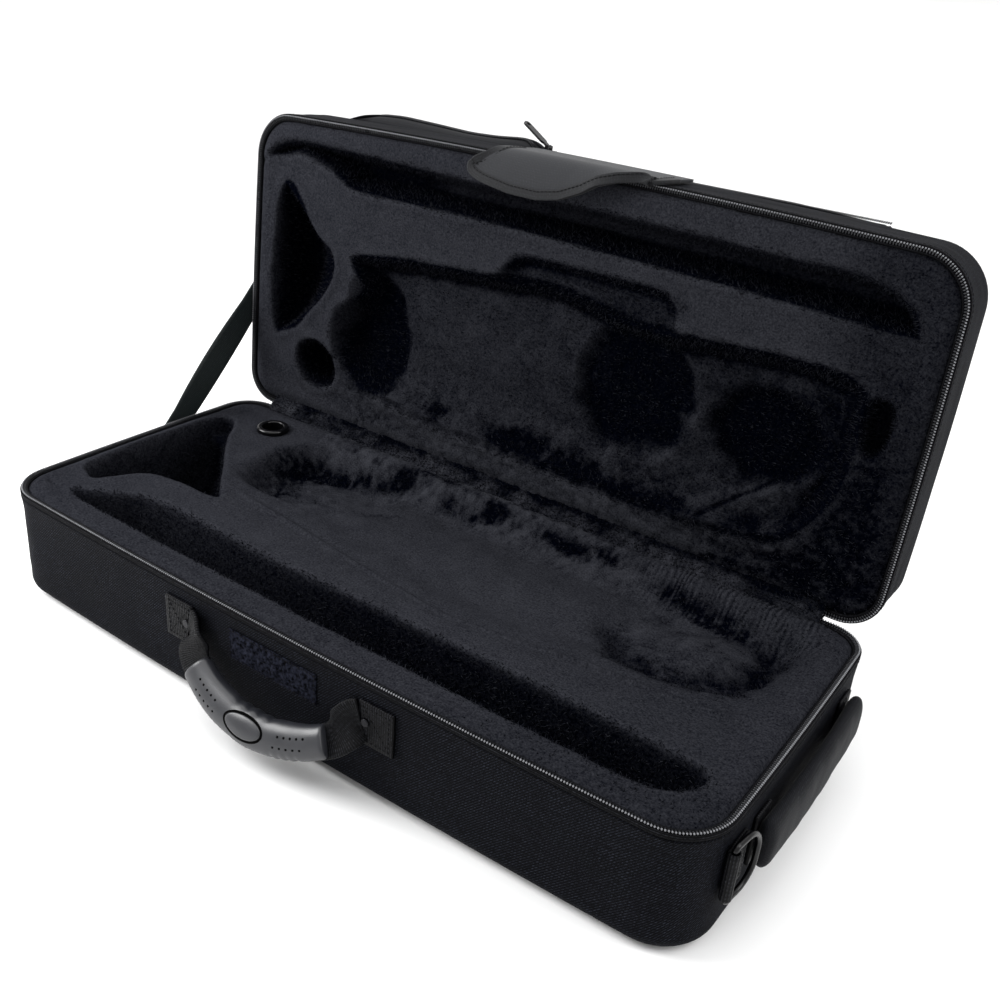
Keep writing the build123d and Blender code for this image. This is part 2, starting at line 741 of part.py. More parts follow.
def make_stay():
    return stay_bar(-stay_margin, stay_rim_span + stay_margin, stay_thickness)


def make_stay_anchor_base():
    return stay_bar(-stay_margin - 0.3 - stay_sewn_length, -stay_margin - 0.3, webbing_thickness)


def make_stay_anchor_lid():
    start = stay_rim_span + stay_margin + 0.3
    return stay_bar(start, start + stay_sewn_length, webbing_thickness)


# ---------------------------------------------------------------- assembly

def handle_part(shape):
    return handle_plane.location * shape


back_slider = back_slider_plane.location * make_slider(slider_height, slider_thickness, 90)
back_pull = back_pull_plane.location * make_pull()
grooved_slider = make_slider(slider_height, slider_thickness, 0) - coil_channel(pocket_coil_width + 0.6,
                                                                               pocket_coil_height + 0.2)
pocket_slider = pocket_slider_plane.location * grooved_slider

parts = {
    "base_cover": make_cover(wall_top),
    "base_shell": make_shell(wall_top),
    "base_liner": make_base_liner(),
    "base_zip_tape": make_zip_tape(wall_top, tape_drop),
    "base_zip_coil": make_zip_coil(coil_level),
    "mouthpiece_ring": make_mouthpiece_ring(),
    "front_loop_patch": wall_piece(sewn_gap, patch_thickness, patch_x - patch_width / 2,
                                   patch_x + patch_width / 2, patch_top - patch_height, patch_top),
    "handle_anchor_left": make_anchor(anchor_inner_left, -1),
    "handle_anchor_right": make_anchor(anchor_inner_right, 1),
    "handle_rivets": make_rivets(),
    "handle_webbing_left": make_handle_webbing(-1),
    "handle_webbing_right": make_handle_webbing(1),
    "handle_grip": handle_part(make_grip()),
    "grip_badge": handle_part(make_badge()),
    "end_handle_pad": make_end_handle(),
    "end_handle_tabs": make_end_tabs(),
    "d_ring_right": make_ring(),
    "d_ring_left": on_left(make_ring()),
    "d_ring_loop_right": make_ring_loop(),
    "d_ring_loop_left": on_left(make_ring_loop()),
    "zip_slider_right": back_slider,
    "zip_slider_left": on_left(back_slider),
    "zip_pull_right": back_pull,
    "zip_pull_left": on_left(back_pull),
    "lid_cover": on_lid(make_cover(lid_wall_top)),
    "lid_shell": on_lid(make_shell(lid_wall_top)),
    "lid_liner": on_lid(make_lid_liner()),
    "lid_zip_tape": on_lid(make_zip_tape(lid_wall_top, tape_drop)),
    "lid_zip_coil": on_lid(make_zip_coil(lid_coil_level)),
    "pocket_bag": on_lid(make_pocket()),
    "pocket_zip_tape": on_lid(make_pocket_tape()),
    "pocket_zip_coil": on_lid(make_pocket_coil()),
    "pocket_slider": on_lid(pocket_slider),
    "pocket_pull": on_lid(pocket_pull_plane.location * make_pull()),
    "flap_root": shut_to_open(make_flap_root()),
    "flap_panel": flap_open(make_flap_panel()),
    "flap_binding": flap_open(make_flap_binding()),
    "flap_hook_strip": flap_open(make_hook_strip()),
    "hinge_fabric": make_hinge_fabric(),
    "hinge_lining": make_hinge_lining(),
    "stay_strap": make_stay(),
    "stay_anchor_base": make_stay_anchor_base(),
    "stay_anchor_lid": make_stay_anchor_lid(),
}

os.makedirs("parts", exist_ok=True)
for name, shape in parts.items():
    export_step(shape, f"parts/{name}.step")
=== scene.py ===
import bpy
import bmesh
import math
import numpy as np
from contextlib import contextmanager
from mathutils import Matrix, Vector


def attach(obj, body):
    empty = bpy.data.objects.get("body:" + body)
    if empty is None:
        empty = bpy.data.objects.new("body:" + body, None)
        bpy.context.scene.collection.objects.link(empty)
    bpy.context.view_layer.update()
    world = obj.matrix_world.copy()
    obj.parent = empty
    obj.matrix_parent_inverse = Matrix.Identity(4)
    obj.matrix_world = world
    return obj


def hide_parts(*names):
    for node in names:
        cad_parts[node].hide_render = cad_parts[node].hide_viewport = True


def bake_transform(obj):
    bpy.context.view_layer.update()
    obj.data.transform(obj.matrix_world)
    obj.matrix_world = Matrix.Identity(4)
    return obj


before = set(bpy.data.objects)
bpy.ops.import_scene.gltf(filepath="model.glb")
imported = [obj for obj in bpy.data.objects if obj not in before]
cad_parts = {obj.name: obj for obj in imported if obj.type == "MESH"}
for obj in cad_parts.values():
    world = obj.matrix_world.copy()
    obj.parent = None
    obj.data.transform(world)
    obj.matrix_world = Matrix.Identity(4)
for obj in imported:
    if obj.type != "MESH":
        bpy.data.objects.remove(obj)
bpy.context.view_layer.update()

mm = 0.001

# The case's own sizes, in millimetres. The base frame is the part's frame. The lid is drawn in its
# own frame, outer face down, and lidMatrix takes it to where it stands open.
case = {
    "length": 560, "width": 238, "baseHeight": 84, "lidDepth": 54, "cornerRadius": 35,
    "edgeRadius": 11, "frontBow": 5, "endBow": 1.5, "openAngle": 94.5, "backRadius": 26, "zipEnd": 205,
}
halfLength = case["length"] / 2
halfWidth = case["width"] / 2
baseRim = case["baseHeight"] - 0.4
lidRim = case["lidDepth"] - 0.4
hinge = Vector((0, halfWidth, case["baseHeight"]))

baseMatrix = Matrix.Scale(mm, 4)
closedLid = Matrix.Translation((0, 0, case["baseHeight"] + case["lidDepth"])) @ Matrix.Diagonal((1, 1, -1, 1))
opening = (Matrix.Translation(hinge) @ Matrix.Rotation(-math.radians(case["openAngle"]), 4, "X")
           @ Matrix.Translation(-hinge))
lidMatrix = baseMatrix @ opening @ closedLid


# sRGB hex to the linear values that a shader takes
def hexToLinear(code):
    values = [int(code[i:i + 2], 16) / 255 for i in (0, 2, 4)]
    return [v / 12.92 if v <= 0.04045 else ((v + 0.055) / 1.055) ** 2.4 for v in values] + [1.0]


def addNode(tree, kind, inputs=None, **settings):
    node = tree.nodes.new(kind)
    for name, value in settings.items():
        setattr(node, name, value)
    for name, value in (inputs or {}).items():
        # a node may have several sockets of one name, and only the one in use is enabled
        socket = (node.inputs[name] if isinstance(name, int)
                  else next(s for s in node.inputs if s.name == name and s.enabled))
        if isinstance(value, bpy.types.NodeSocket):
            tree.links.new(value, socket)
        else:
            socket.default_value = value
    return node


def outputOf(node):
    return next(s for s in node.outputs if s.enabled)


def mathOf(tree, operation, *values, clamp=False):
    return addNode(tree, "ShaderNodeMath", dict(enumerate(values)), operation=operation,
                   use_clamp=clamp).outputs[0]


def noiseOf(tree, vector, scale, detail=2.0, roughness=0.5):
    inputs = {"Vector": vector, "Scale": scale, "Detail": detail, "Roughness": roughness}
    return addNode(tree, "ShaderNodeTexNoise", inputs).outputs["Fac"]


def rangeOf(tree, value, fromMin, fromMax, toMin=0.0, toMax=1.0):
    inputs = {"Value": value, "From Min": fromMin, "From Max": fromMax, "To Min": toMin, "To Max": toMax}
    return addNode(tree, "ShaderNodeMapRange", inputs).outputs[0]


def bumpOnto(tree, shader, height, distance, strength):
    bump = addNode(tree, "ShaderNodeBump", {"Height": height, "Distance": distance, "Strength": strength})
    tree.links.new(bump.outputs[0], shader.inputs["Normal"])


def setShader(shader, **values):
    names = {"gloss": "Specular IOR Level", "roughness": "Roughness", "metallic": "Metallic",
             "sheen": "Sheen Weight",
             "sheenRoughness": "Sheen Roughness", "coat": "Coat Weight", "coatRoughness": "Coat Roughness"}
    for key, value in values.items():
        shader.inputs[names[key]].default_value = value


def newMaterial(name):
    material = bpy.data.materials.new(name)
    material.use_nodes = True
    tree = material.node_tree
    tree.nodes.clear()
    output = addNode(tree, "ShaderNodeOutputMaterial")
    shader = addNode(tree, "ShaderNodeBsdfPrincipled")
    tree.links.new(shader.outputs[0], output.inputs["Surface"])
    return material, tree, shader


def smoothStep(low, high, value):
    t = np.clip((value - low) / (high - low), 0, 1)
    return t * t * (3 - 2 * t)


# smooth random field of about -1 to 1, with bumps of the given size
def softNoise(x, y, size, seed):
    cells = 64
    lattice = np.random.default_rng(seed).random((cells, cells)) * 2 - 1
    # the shift keeps every place positive
    u, v = np.asarray(x) / size + 640.3, np.asarray(y) / size + 640.7
    i, j = np.floor(u).astype(int), np.floor(v).astype(int)
    a, b = u - i, v - j
    a, b = a * a * (3 - 2 * a), b * b * (3 - 2 * b)
    i, j = i % cells, j % cells
    k, l = (i + 1) % cells, (j + 1) % cells
    near = lattice[i, j] * (1 - a) + lattice[k, j] * a
    far = lattice[i, l] * (1 - a) + lattice[k, l] * a
    return near * (1 - b) + far * b


def linkPiece(name, mesh, material):
    piece = bpy.data.objects.new(name, mesh)
    bpy.context.scene.collection.objects.link(piece)
    if material:
        mesh.materials.clear()
        mesh.materials.append(material)
    return piece


def toWorld(points, place):
    matrix = np.array(place)
    return points @ matrix[:3, :3].T + matrix[:3, 3]


def lengthsAlong(steps):
    return np.concatenate([[0], np.cumsum(steps)])


# mesh from points in millimetres and faces; uv holds one pair in metres for each corner of each face
def makePiece(name, points, faces, material, place=baseMatrix, uv=None):
    world = toWorld(np.asarray(points, float), place)
    if place.determinant() < 0:
        faces = [face[::-1] for face in faces]
        uv = None if uv is None else [corner[::-1] for corner in uv]
    mesh = bpy.data.meshes.new(name)
    mesh.from_pydata(world.tolist(), [], [list(map(int, f)) for f in faces])
    if uv is not None:
        layer = mesh.uv_layers.new(name="cloth")
        layer.data.foreach_set("uv", np.concatenate([np.ravel(c) for c in uv]).astype(np.float32))
    smoothShaded(mesh)
    mesh.validate()
    return linkPiece(name, mesh, material)


# quads over a grid of points; the lengths along both ways give the cloth's UV
def gridFaces(columns, rows, closeColumns=False, closeRows=False):
    lastColumn = columns if closeColumns else columns - 1
    lastRow = rows if closeRows else rows - 1
    faces, corners = [], []
    for i in range(lastColumn):
        for j in range(lastRow):
            k, l = (i + 1) % columns, (j + 1) % rows
            faces.append((i * rows + j, k * rows + j, k * rows + l, i * rows + l))
            corners.append(((i, j), (i + 1, j), (i + 1, j + 1), (i, j + 1)))
    return faces, corners


def gridPiece(name, grid, material, place=baseMatrix, closeColumns=False, closeRows=False, caps=False,
              flip=False):
    grid = np.asarray(grid, float)
    columns, rows = grid.shape[:2]
    faces, corners = gridFaces(columns, rows, closeColumns, closeRows)
    across = np.linalg.norm(np.diff(np.concatenate([grid, grid[:1]]), axis=0), axis=2).max(axis=1)
    up = np.linalg.norm(np.diff(np.concatenate([grid, grid[:, :1]], axis=1), axis=1), axis=2).mean(axis=0)
    u, v = lengthsAlong(across) * mm, lengthsAlong(up) * mm
    uv = [[(u[i], v[j]) for i, j in corner] for corner in corners]
    if caps:
        first, last = list(range(rows)), [(columns - 1) * rows + j for j in range(rows)]
        for loop in (first, last[::-1]):
            faces.append(tuple(loop))
            uv.append([(0, v[j % rows]) for j in range(rows)])
    if flip:
        faces = [f[::-1] for f in faces]
        uv = [c[::-1] for c in uv]
    return makePiece(name, grid.reshape(-1, 3), faces, material, place, uv)


@contextmanager
def edited(piece):
    mesh = bmesh.new()
    mesh.from_mesh(piece.data)
    yield mesh
    mesh.to_mesh(piece.data)
    mesh.free()


def turnOutward(piece):
    with edited(piece) as mesh:
        bmesh.ops.recalc_face_normals(mesh, faces=mesh.faces)
    return piece


def fillHoles(mesh):
    bmesh.ops.holes_fill(mesh, edges=[e for e in mesh.edges if e.is_boundary], sides=0)


# a new ring of vertices, drawn out of the open border
def drawnBorder(mesh):
    made = bmesh.ops.extrude_edge_only(mesh, edges=[e for e in mesh.edges if e.is_boundary])["geom"]
    return [v for v in made if isinstance(v, bmesh.types.BMVert)]


def finishPiece(piece, body, slot, *nodes):
    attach(piece, body)
    if nodes:
        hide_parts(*nodes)
    return piece


# a piece that runs between two bodies, from start to end; this only hides the nodes it replaces and bakes its
# placement into its mesh
def bendPiece(piece, bodies, start, end, slot, *nodes):
    if nodes:
        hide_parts(*nodes)
    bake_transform(piece)


def addModifier(piece, kind, **settings):
    modifier = piece.modifiers.new(kind.title(), kind)
    for name, value in settings.items():
        setattr(modifier, name, value)
    return modifier


# turns a piece with its modifiers into a plain mesh
def freeze(piece):
    bpy.context.view_layer.update()
    evaluated = piece.evaluated_get(bpy.context.evaluated_depsgraph_get())
    mesh = bpy.data.meshes.new_from_object(evaluated)
    piece.modifiers.clear()
    piece.data = mesh
    return piece


def thicken(piece, thickness, offset=0):
    addModifier(piece, "SOLIDIFY", thickness=thickness * mm, offset=offset)
    return freeze(piece)


def addAttribute(mesh, name, values, kind="FLOAT", field="value"):
    mesh.attributes.new(name, kind, "POINT").data.foreach_set(field, np.asarray(values, np.float32).ravel())


def smoothShaded(mesh):
    mesh.polygons.foreach_set("use_smooth", [True] * len(mesh.polygons))


# centre of a corner's arc, and the walls' outward normals where it meets the end and the long side
def cornerCentre(front):
    r = case["cornerRadius"] if front else case["backRadius"]
    cx, cy = halfLength - r, (r - halfWidth) if front else (halfWidth - r)
    footX, footY = cx, cy
    for _ in range(40):
        endNormal = Vector((1, 2 * case["endBow"] * footY / halfWidth ** 2)).normalized()
        footY = cy + r * endNormal.y
        cx = halfLength + case["endBow"] * (1 - (footY / halfWidth) ** 2) - r * endNormal.x
        if front:
            sideNormal = Vector((2 * case["frontBow"] * footX / halfLength ** 2, -1)).normalized()
            footX = cx + r * sideNormal.x
            cy = -halfWidth - case["frontBow"] * (1 - (footX / halfLength) ** 2) - r * sideNormal.y
        else:
            sideNormal = Vector((0, 1))
            footX, cy = cx, halfWidth - r
    return cx, cy, endNormal, sideNormal


# points, outward normals and lengths round the plan, from the middle of the back wall, by way of the left end
def planLine(step):
    r, back = case["cornerRadius"], case["backRadius"]
    backX, backY, backEnd, backSide = cornerCentre(False)
    frontX, frontY, frontEnd, frontSide = cornerCentre(True)
    right = []
    for t in np.linspace(0, 1, 40):
        x = t * (frontX + r * frontSide.x)
        right.append((x, -halfWidth - case["frontBow"] * (1 - (x / halfLength) ** 2)))
    turn = [math.atan2(n.y, n.x) for n in (frontSide, frontEnd, backEnd, backSide)]
    right += [(frontX + r * math.cos(a), frontY + r * math.sin(a))
              for a in np.linspace(turn[0], turn[1], 24)[1:]]
    low, high = right[-1][1], backY + back * backEnd.y
    for y in np.linspace(low, high, 30)[1:]:
        right.append((halfLength + case["endBow"] * (1 - (y / halfWidth) ** 2), y))
    right += [(backX + back * math.cos(a), backY + back * math.sin(a))
              for a in np.linspace(turn[2], turn[3], 24)[1:]]
    right += [(x, halfWidth) for x in np.linspace(backX, 0, 20)[1:]]
    left = [(-x, y) for x, y in right[::-1]]
    loop = np.array(left[:-1] + right)
    lengths = lengthsAlong(np.linalg.norm(np.diff(loop, axis=0), axis=1))
    count = round(lengths[-1] / step)
    along = np.linspace(0, lengths[-1], count + 1)[:-1]
    points = np.column_stack([np.interp(along, lengths, loop[:, k]) for k in (0, 1)])
    ahead, behind = np.roll(points, -1, axis=0), np.roll(points, 1, axis=0)
    tangent = (ahead - behind) / np.linalg.norm(ahead - behind, axis=1)[:, None]
    return points, np.column_stack([tangent[:, 1], -tangent[:, 0]]), along


# ring or open run whose section is given as (out from the wall, height) pairs
def bandPiece(name, section, material, place, step=4.0, zipRun=False, flip=False):
    points, normals, along = planLine(step)
    if zipRun:
        keep = (points[:, 1] < halfWidth - 0.01) | (np.abs(points[:, 0]) > case["zipEnd"])
        points, normals = points[keep], normals[keep]
    grid = np.array([[(p[0] + n[0] * out, p[1] + n[1] * out, z) for out, z in section]
                     for p, n in zip(points, normals)])
    return gridPiece(name, grid, material, place, closeColumns=not zipRun, closeRows=True, caps=zipRun,
                     flip=flip)


def zipLine(out, height, place):
    points, normals, along = planLine(2.0)
    keep = (points[:, 1] < halfWidth - 0.01) | (np.abs(points[:, 0]) > case["zipEnd"] + 1)
    points, normals = points[keep], normals[keep]
    line = np.column_stack([points + normals * out, np.full(len(points), height)])
    return toWorld(line, place), normals


# a modifier's tree; its inputs are given as name, kind and value
def newTree(name, *inputs):
    tree = bpy.data.node_groups.new(name, "GeometryNodeTree")
    tree.interface.new_socket(name="Geometry", in_out="OUTPUT", socket_type="NodeSocketGeometry")
    for label, kind, value in (("Geometry", "Geometry", None), *inputs, ("Material", "Material", None)):
        socket = tree.interface.new_socket(name=label, in_out="INPUT", socket_type="NodeSocket" + kind)
        if value is not None:
            socket.default_value = value
    return tree, addNode(tree, "NodeGroupInput").outputs


# sets the instances down as plain mesh in their material
def closeTree(tree, points, instance, rotation, scale, material):
    inputs = {"Points": points, "Instance": instance, "Rotation": rotation}
    placed = addNode(tree, "GeometryNodeInstanceOnPoints", inputs)
    tree.links.new(scale, placed.inputs["Scale"])
    solid = addNode(tree, "GeometryNodeRealizeInstances", {"Geometry": placed.outputs[0]})
    finished = addNode(tree, "GeometryNodeSetMaterial", {"Geometry": solid.outputs[0], "Material": material})
    addNode(tree, "NodeGroupOutput", {"Geometry": finished.outputs[0]})
    return tree


def randomOf(tree, least, most, seed, kind="FLOAT"):
    inputs = {"Min": least, "Max": most, "Seed": seed}
    return outputOf(addNode(tree, "FunctionNodeRandomValue", inputs, data_type=kind))


def alignedTo(tree, axis, inputs, **settings):
    return addNode(tree, "FunctionNodeAlignRotationToVector", inputs, axis=axis, **settings).outputs[0]


def repeatTree():
    tree, given = newTree("repeatAlongPath", ("Unit", "Object", None), ("Pitch", "Float", 0.003),
                          ("Unevenness", "Float", 0.0))
    curve = addNode(tree, "GeometryNodeMeshToCurve", {"Mesh": given["Geometry"]}).outputs[0]
    spaced = addNode(tree, "GeometryNodeResampleCurve", {"Curve": curve, "Length": given["Pitch"]},
                     mode="LENGTH")
    unit = addNode(tree, "GeometryNodeObjectInfo", {"Object": given["Unit"]}).outputs["Geometry"]
    tangent = addNode(tree, "GeometryNodeInputTangent").outputs[0]
    upward = addNode(tree, "GeometryNodeInputNamedAttribute", {"Name": "up"},
                     data_type="FLOAT_VECTOR").outputs[0]
    alongX = alignedTo(tree, "X", {"Vector": tangent})
    facing = alignedTo(tree, "Z", {"Rotation": alongX, "Vector": upward}, pivot_axis="X")
    least = mathOf(tree, "SUBTRACT", 1.0, given["Unevenness"])
    size = randomOf(tree, least, 1.0, 7)
    return closeTree(tree, spaced.outputs[0], unit, facing, size, given["Material"])


def runTree(piece, tree, values):
    modifier = piece.modifiers.new("nodes", "NODES")
    modifier.node_group = tree
    for item in tree.interface.items_tree:
        if item.item_type == "SOCKET" and item.in_out == "INPUT" and item.name in values:
            modifier[item.identifier] = values[item.name]
    return freeze(piece)


alongPath = repeatTree()


# runs are pairs of a world line and the way up along it
def repeatAlong(name, runs, unit, pitch, material, unevenness=0.0):
    points, edges, ups = [], [], []
    for line, up in runs:
        edges += [(len(points) + i, len(points) + i + 1) for i in range(len(line) - 1)]
        ups += list(np.broadcast_to(up, (len(line), 3)))
        points += [tuple(map(float, p)) for p in line]
    mesh = bpy.data.meshes.new(name)
    mesh.from_pydata(points, edges, [])
    addAttribute(mesh, "up", ups, "FLOAT_VECTOR", "vector")
    piece = linkPiece(name, mesh, None)
    runTree(piece, alongPath, {"Unit": unit, "Pitch": pitch, "Unevenness": unevenness, "Material": material})
    smoothShaded(piece.data)
    return piece


def unitObject(name, points, faces):
    mesh = bpy.data.meshes.new(name)
    mesh.from_pydata([tuple(p) for p in points], [], faces)
    mesh.validate()
    # not linked to the scene: it only lends its shape
    return bpy.data.objects.new(name, mesh)


# the swollen outer end of a coil's turn
def coilHeadUnit(length, size):
    points, faces = [(0, 0, -size / 2)], []
    for i in (1, 2, 3):
        a = math.pi * (i / 4 - 0.5)
        points += [(math.cos(a) * math.cos(b) * length / 2, math.cos(a) * math.sin(b) * size / 2,
                    math.sin(a) * size / 2)
                   for b in np.linspace(0, 2 * math.pi, 7)[:-1]]
    points.append((0, 0, size / 2))
    for k in range(6):
        l = (k + 1) % 6
        faces += [(0, 1 + l, 1 + k), (19, 13 + k, 13 + l)]
        faces += [(1 + r * 6 + k, 1 + r * 6 + l, 7 + r * 6 + l, 7 + r * 6 + k) for r in (0, 1)]
    return unitObject("coilHead", points, faces)


# one stitch: a short round-ended thread that lies along X
def stitchUnit(length, width, height):
    points, faces = [], []
    rings, sides = 5, 6
    for i in range(rings):
        t = i / (rings - 1) * 2 - 1
        swell = max(0.12, 1 - abs(t) ** 3)
        for k in range(sides):
            a = 2 * math.pi * k / sides
            points.append((t * length / 2, math.cos(a) * width / 2 * swell,
                           math.sin(a) * height / 2 * swell + height * 0.15))
    for i in range(rings - 1):
        for k in range(sides):
            n = (k + 1) % sides
            faces.append((i * sides + k, (i + 1) * sides + k, (i + 1) * sides + n, i * sides + n))
    faces.append(tuple(range(sides)))
    faces.append(tuple((rings - 1) * sides + k for k in range(sides))[::-1])
    return unitObject("stitch", points, faces)


# one turn of a coil zip: an oval ring of thread across the tape
def coilTurnUnit(width, height, thread):
    points, faces = [], []
    around, sides = 9, 4
    for i in range(around):
        a = 2 * math.pi * i / around
        centre = Vector((0.18 * thread * math.sin(a), math.cos(a) * (width - thread) / 2,
                         math.sin(a) * (height - thread) / 2))
        out = Vector((0, math.cos(a), math.sin(a)))
        for k in range(sides):
            b = 2 * math.pi * (k + 0.5) / sides
            p = centre + (out * math.cos(b) + Vector((1, 0, 0)) * math.sin(b)) * thread / 2
            points.append(p)
    for i in range(around):
        n = (i + 1) % around
        for k in range(sides):
            l = (k + 1) % sides
            faces.append((i * sides + k, n * sides + k, n * sides + l, i * sides + l))
    return unitObject("coilTurn", points, faces)


# base colour that runs between two hex colours
def colourFrom(tree, shader, factor, first, second):
    inputs = {"Factor": factor, "A": hexToLinear(first), "B": hexToLinear(second)}
    mixed = outputOf(addNode(tree, "ShaderNodeMix", inputs, data_type="RGBA"))
    tree.links.new(mixed, shader.inputs["Base Color"])


# plain-woven and twill cloths: ribs run slantwise on the piece's own UV, which is in metres
def clothMaterial(name, dark, light, ribs, slant=45, roughness=0.75, sheen=0.25, depth=0.00012,
                  mottling=0.035,
                  gloss=0.12):
    material, tree, shader = newMaterial(name)
    setShader(shader, roughness=roughness, sheen=sheen, sheenRoughness=0.45, gloss=gloss)
    place = addNode(tree, "ShaderNodeUVMap", uv_map="cloth").outputs[0]
    turned = addNode(tree, "ShaderNodeMapping",
                     {"Vector": place, "Rotation": (0, 0, math.radians(slant))}).outputs[0]
    # a wave texture of scale 0.31416 / d has bands d apart
    rib = addNode(tree, "ShaderNodeTexWave",
                  {"Vector": turned, "Scale": 0.31416 / ribs, "Distortion": 0.6, "Detail Scale": 3.0},
                  wave_type="BANDS", bands_direction="X", wave_profile="SIN").outputs["Fac"]
    crossed = addNode(tree, "ShaderNodeTexWave",
                      {"Vector": place, "Scale": 0.31416 / (ribs * 1.6), "Distortion": 0.8},
                      wave_type="BANDS", bands_direction="Y", wave_profile="SIN").outputs["Fac"]
    body = addNode(tree, "ShaderNodeTexCoord").outputs["Object"]
    patch = noiseOf(tree, body, 1 / mottling, 4.0, 0.6)
    floats = mathOf(tree, "MULTIPLY_ADD", crossed, 0.45, 0.55)
    thread = mathOf(tree, "MULTIPLY", rib, floats)
    fuzz = rangeOf(tree, noiseOf(tree, body, 1 / (ribs * 0.9), 1.0), 0.3, 0.7, 0.35, 1.25)
    thread = mathOf(tree, "MULTIPLY", thread, fuzz)
    tone = rangeOf(tree, patch, 0.3, 0.7, 0.55, 1.0)
    narrow = mathOf(tree, "POWER", thread, 1.9)
    colourFrom(tree, shader, mathOf(tree, "MULTIPLY", narrow, tone), dark, light)
    bumpOnto(tree, shader, thread, depth, 0.8)
    return material


# short-pile plush: where the pile lies flat it turns light, where it stands it goes almost black; the same
# tone also carries painted shade in the recesses, slots and creases, which go almost black too
def plushMaterial(dark="010207", light="323338"):
    material, tree, shader = newMaterial("plushPileAndPaintedShade")
    setShader(shader, roughness=0.95, gloss=0.0)
    body = addNode(tree, "ShaderNodeTexCoord").outputs["Object"]
    lay = addNode(tree, "ShaderNodeAttribute", attribute_name="lay", attribute_type="GEOMETRY").outputs["Fac"]
    cloud, tuft = noiseOf(tree, body, 55.0, 4.0, 0.6), noiseOf(tree, body, 430.0, 2.0, 0.6)
    fibre = noiseOf(tree, body, 850.0)
    # standing pile and painted shade break up into dark tufts, flat pile stays even
    broken = rangeOf(tree, lay, 0.15, 0.6, 1.9, 0.5)
    cloud, tuft, fibreTone = (mathOf(tree, "SUBTRACT", noise, 0.5) for noise in (cloud, tuft, fibre))
    tuft = mathOf(tree, "MULTIPLY", tuft, broken)
    shade = mathOf(tree, "MULTIPLY", cloud, 0.35)
    shade = mathOf(tree, "MULTIPLY_ADD", tuft, 0.7, shade)
    shade = mathOf(tree, "MULTIPLY_ADD", fibreTone, 1.3, shade)
    lit = mathOf(tree, "MULTIPLY_ADD", lay, 1.5, 0.2, clamp=True)
    shade = mathOf(tree, "MULTIPLY_ADD", shade, lit, lay, clamp=True)
    colourFrom(tree, shader, shade, dark, light)
    bumpOnto(tree, shader, mathOf(tree, "MULTIPLY_ADD", tuft, 0.7, fibre), 0.0007, 0.8)
    return material


# moulded or lacquered things: one colour with a fine grain and slight wear in the roughness
def mouldedMaterial(name, colour, worn, roughness, grain=0.0009, depth=0.00004, metallic=0.0, coat=0.0,
                    gloss=0.5,
                    patches=0.0167, spread=0.5):
    material, tree, shader = newMaterial(name)
    setShader(shader, gloss=gloss, metallic=metallic, coat=coat, coatRoughness=0.08)
    body = addNode(tree, "ShaderNodeTexCoord").outputs["Object"]
    fine, broad = noiseOf(tree, body, 1 / grain, 3.0), noiseOf(tree, body, 1 / patches, 4.0, 0.6)
    colourFrom(tree, shader, rangeOf(tree, broad, 0.5 - spread, 0.5 + spread), colour, worn)
    rough = rangeOf(tree, broad, 0.25, 0.75, max(0.05, roughness - 0.07), min(1.0, roughness + 0.07))
    tree.links.new(rough, shader.inputs["Roughness"])
    bumpOnto(tree, shader, fine, depth, 0.7)
    return material


# the real twill has ribs about 0.8 mm apart; they are drawn 1.4 mm apart so that they show
nylonTwill = clothMaterial("wovenNylonTwill", "010103", "282b34", ribs=0.0014, sheen=0.0, gloss=0.05,
                           depth=0.0002)
# finer, smoother nylon of the pocket and the end handle
pocketTwill = clothMaterial("wovenPocketNylon", "05060a", "1c1e23", ribs=0.0012, sheen=0.03, gloss=0.12)
# brushed nylon, lighter and nearly even
flapNylon = clothMaterial("brushedFlapNylon", "222326", "2f3135", ribs=0.0009, sheen=0.1, gloss=0.2)
# close weave, dark beside the coil
zipTapeWeave = clothMaterial("herringboneZipTape", "050506", "2a2b30", ribs=0.0014, slant=90, roughness=0.8,
                             sheen=0.0, gloss=0.05)
# strong ribs across the strap
ribbedWebbing = clothMaterial("ribbedPolypropyleneWebbing", "010102", "2a2b30", ribs=0.0017, slant=0,
                              roughness=0.5, sheen=0.0, depth=0.0005, gloss=0.08)
# thin flat webbing with a green cast and a little shine
stayWebbing = clothMaterial("flatStayWebbing", "0b1112", "2b3737", ribs=0.0013, slant=0, roughness=0.5,
                            sheen=0.1,
                            depth=0.0002, gloss=0.3)
# narrow ribbed tape round the flap
edgeBinding = clothMaterial("wovenEdgeBinding", "131416", "2c2d31", ribs=0.0011, slant=0, roughness=0.7,
                            sheen=0.05,
                            gloss=0.2)
# nap that is grey where it lies and near black where it stands or where shade is painted
linedPlush = plushMaterial()
# round glossy turns
nylonCoil = mouldedMaterial("extrudedNylonCoil", "141518", "2a2b2f", 0.3, gloss=0.3)
# outer ends painted light grey as a painted highlight, which makes the zip's bright dotted line
coilHeadHighlight = mouldedMaterial("nylonCoilHeadsPaintedHighlight", "626367", "7e7f83", 0.3, gloss=0.4)
# real filler cord, coloured near black so that it also paints the shade between coil and tape
fillerCord = mouldedMaterial("spunFillerCord", "010101", "060607", 0.9, gloss=0.05)
# black thread, seen by its shine only
seamThread = mouldedMaterial("bondedBlackThread", "050506", "0d0d0f", 0.8, gloss=0.1)
# greyer thread on the ring loops and the stay
sewingThread = mouldedMaterial("spunPolyesterThread", "1c1d1f", "2c2d30", 0.55)
# soft highlights on the grip
softRubber = mouldedMaterial("softTouchRubber", "1b1c20", "232429", 0.36, grain=0.0006)
# even sheen of the grip's plate
satinPlastic = mouldedMaterial("satinMouldedPlastic", "1e1f23", "25262a", 0.33)
# sharp highlight round the mouthpiece ring
glossPlastic = mouldedMaterial("glossMouldedPlastic", "040405", "0a0a0c", 0.2, gloss=0.3)
# hard black gloss of rings and sliders
blackLacquer = mouldedMaterial("lacqueredZinc", "020203", "060608", 0.22, coat=0.08, gloss=0.2)
